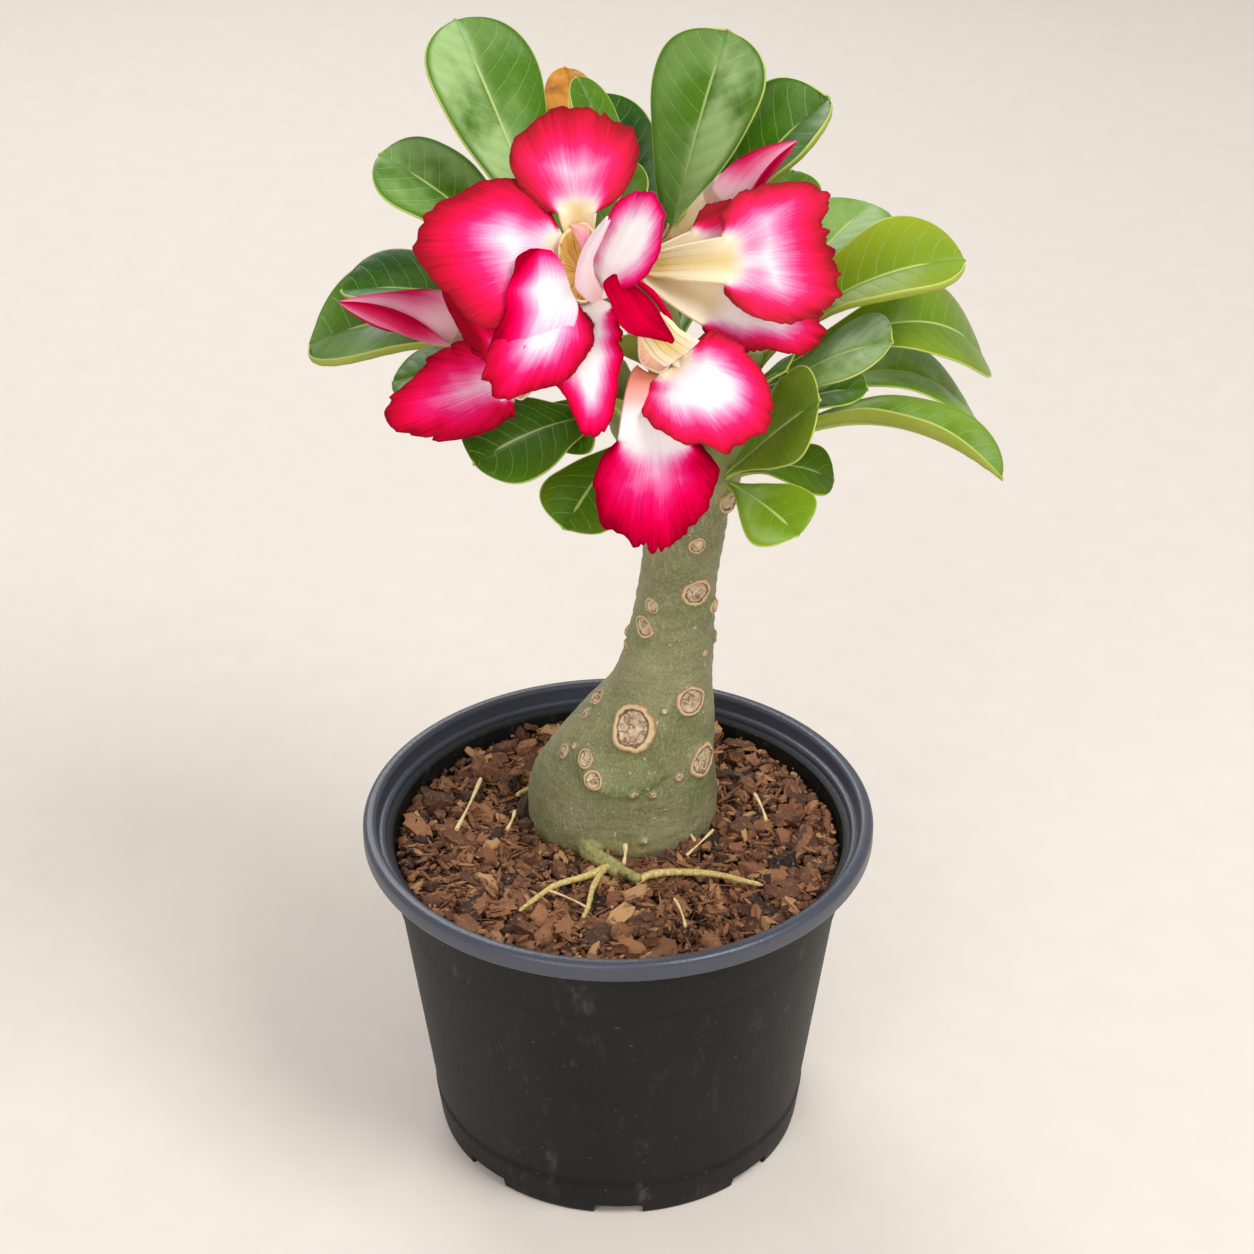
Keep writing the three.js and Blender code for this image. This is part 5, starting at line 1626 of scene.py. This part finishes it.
def make_bud(name, petal_skin, throat_skin):
    branch, base, shoulder, tip, radius = BUDS[name]
    base = point(base)
    axis = unit(point(shoulder) - base)
    sides, rings = 72, 80
    t = np.linspace(0, 1, rings)
    swollen = np.sin(math.pi / 2 * np.minimum(t / 0.5, 1)) ** 2
    furled = np.cos(np.maximum(t - 0.5, 0) / 0.5 * math.pi / 2) ** 0.7
    size = np.maximum((2 + (radius - 2) * swollen) * furled, 0.4)
    line = bend_point([base, shoulder, tip], t)
    angle = np.arange(sides) * 2 * math.pi / sides
    first, way = BUD_TWIST[name]
    twist = first + 1.6 * way * smooth(0.3, 1.0, t)[:, None]
    fold = np.broadcast_to((3 * way * angle / (2 * math.pi) + 0.01)[None] % 1.0, (rings, sides))
    ridge = (0.3 * (1 - fold) ** 1.3 + 0.02) * smooth(0.35, 0.6, t)[:, None]
    grid = rings_along(line, size[:, None] * (0.96 + ridge), sides, twist=-twist)
    below, above = int(rings * 0.52), int(rings * 0.42)
    tube = Shape()
    up = 0.25 + 0.75 * np.minimum(t[:below] / 0.5, 1)
    add_rings(tube, grid[:below], up=up[:, None], angle=3 * np.cos(2 * angle)[None])
    add_stalk(tube, branch, base, 0)
    add_sepals(tube, base, axis, 2.0)
    tube.piece(name + "_tube", throat_skin, "bud")
    petals = Shape()
    ripe = smooth(0.4, 0.75, t[above:])[:, None]
    reach = 0.1 + ripe * (0.05 + 0.75 * (1 - fold[above:]) ** 1.5) + 0.25 * ripe**3
    add_rings(petals, grid[above:], upper=0.0, flow=reach, reach=1.0, edge=9.0, angle=angle[None], seed=4.0)
    petals.piece(name + "_petals", petal_skin, "petal", name)


# ---- Camera, light and floor ----

CAMERA = {"place": (2.6, -605.6, 520.1), "elevation": 30.1, "lens": 71.25, "sensor": 36.0}
FLOOR_REACH = 6.0
WORLD = {"Color": (1.0, 0.97, 0.94, 1), "Strength": 0.46}
# Each lamp's place and size in metres, its watts and its colour.
LAMPS = {
    "key": ((0.8, -0.6, 1.4), 0.8, 15, (1.0, 0.98, 0.96)),
    "fill": ((-0.5, -1.35, 0.9), 1.2, 9, (1.0, 0.98, 0.97)),
    "back": ((-0.4, 1.2, 1.2), 0.9, 8.5, (1.0, 1.0, 1.0)),
}
LAMP_TARGET = (0.0, 0.0, 0.2)


def make_camera():
    data = bpy.data.cameras.new("camera")
    data.lens, data.sensor_width = CAMERA["lens"], CAMERA["sensor"]
    data.clip_start, data.clip_end = 0.01, 50
    camera = bpy.data.objects.new("camera", data)
    camera.location = point(CAMERA["place"]) * MM
    camera.rotation_euler = (math.radians(90 - CAMERA["elevation"]), 0, 0)
    bpy.context.scene.collection.objects.link(camera)
    bpy.context.scene.camera = camera


def make_lamp(name, place, size, watts, colour):
    data = bpy.data.lights.new(name, "AREA")
    data.shape, data.size, data.energy, data.color = "DISK", size, watts, colour
    lamp = bpy.data.objects.new(name, data)
    lamp.location = place
    lamp.rotation_euler = (Vector(LAMP_TARGET) - Vector(place)).to_track_quat("-Z", "Y").to_euler()
    bpy.context.scene.collection.objects.link(lamp)


def make_stage():
    """The pale paper that the pot stands on, the soft light of the room and the lamps."""
    mesh = bpy.data.meshes.new("floor")
    corners = [(-1, -1, 0), (1, -1, 0), (1, 1, 0), (-1, 1, 0)]
    mesh.from_pydata((FLOOR_REACH * point(corners)).tolist(), [], [(0, 1, 2, 3)])
    floor = bpy.data.objects.new("floor", mesh)
    paint = Paint("paper", Roughness=0.9)
    mottle = paint.noise(paint.place(), 60, 4)
    mesh.materials.append(paint.finish(paint.ramp(mottle, (0.3, (234, 226, 217)), (0.7, (237, 229, 220)))))
    bpy.context.scene.collection.objects.link(floor)
    world = bpy.data.worlds.new("studio")
    world.use_nodes = True
    for key, value in WORLD.items():
        world.node_tree.nodes["Background"].inputs[key].default_value = value
    bpy.context.scene.world = world
    for name, row in LAMPS.items():
        make_lamp(name, *row)
    bpy.context.scene.view_settings.view_transform = "Standard"


# ---- The plant in its pot ----

make_camera()
make_stage()
make_pot()
make_soil(chip_material())
make_trunk()
leaf_skin, dried_skin = leaf_material(), dried_material()
for leaf_name in LEAVES:
    dried = leaf_name == "leaf_dried"
    make_leaf(leaf_name, dried_skin if dried else leaf_skin, "dried_leaf" if dried else "leaf")
for leaf_name in YOUNG_LEAVES:
    make_leaf(leaf_name, leaf_skin, "leaf")
petal_skin, throat_skin = petal_material(), throat_material()
for bloom_name in BLOOMS:
    make_bloom(bloom_name, petal_skin, throat_skin)
for bud_name in BUDS:
    make_bud(bud_name, petal_skin, throat_skin)
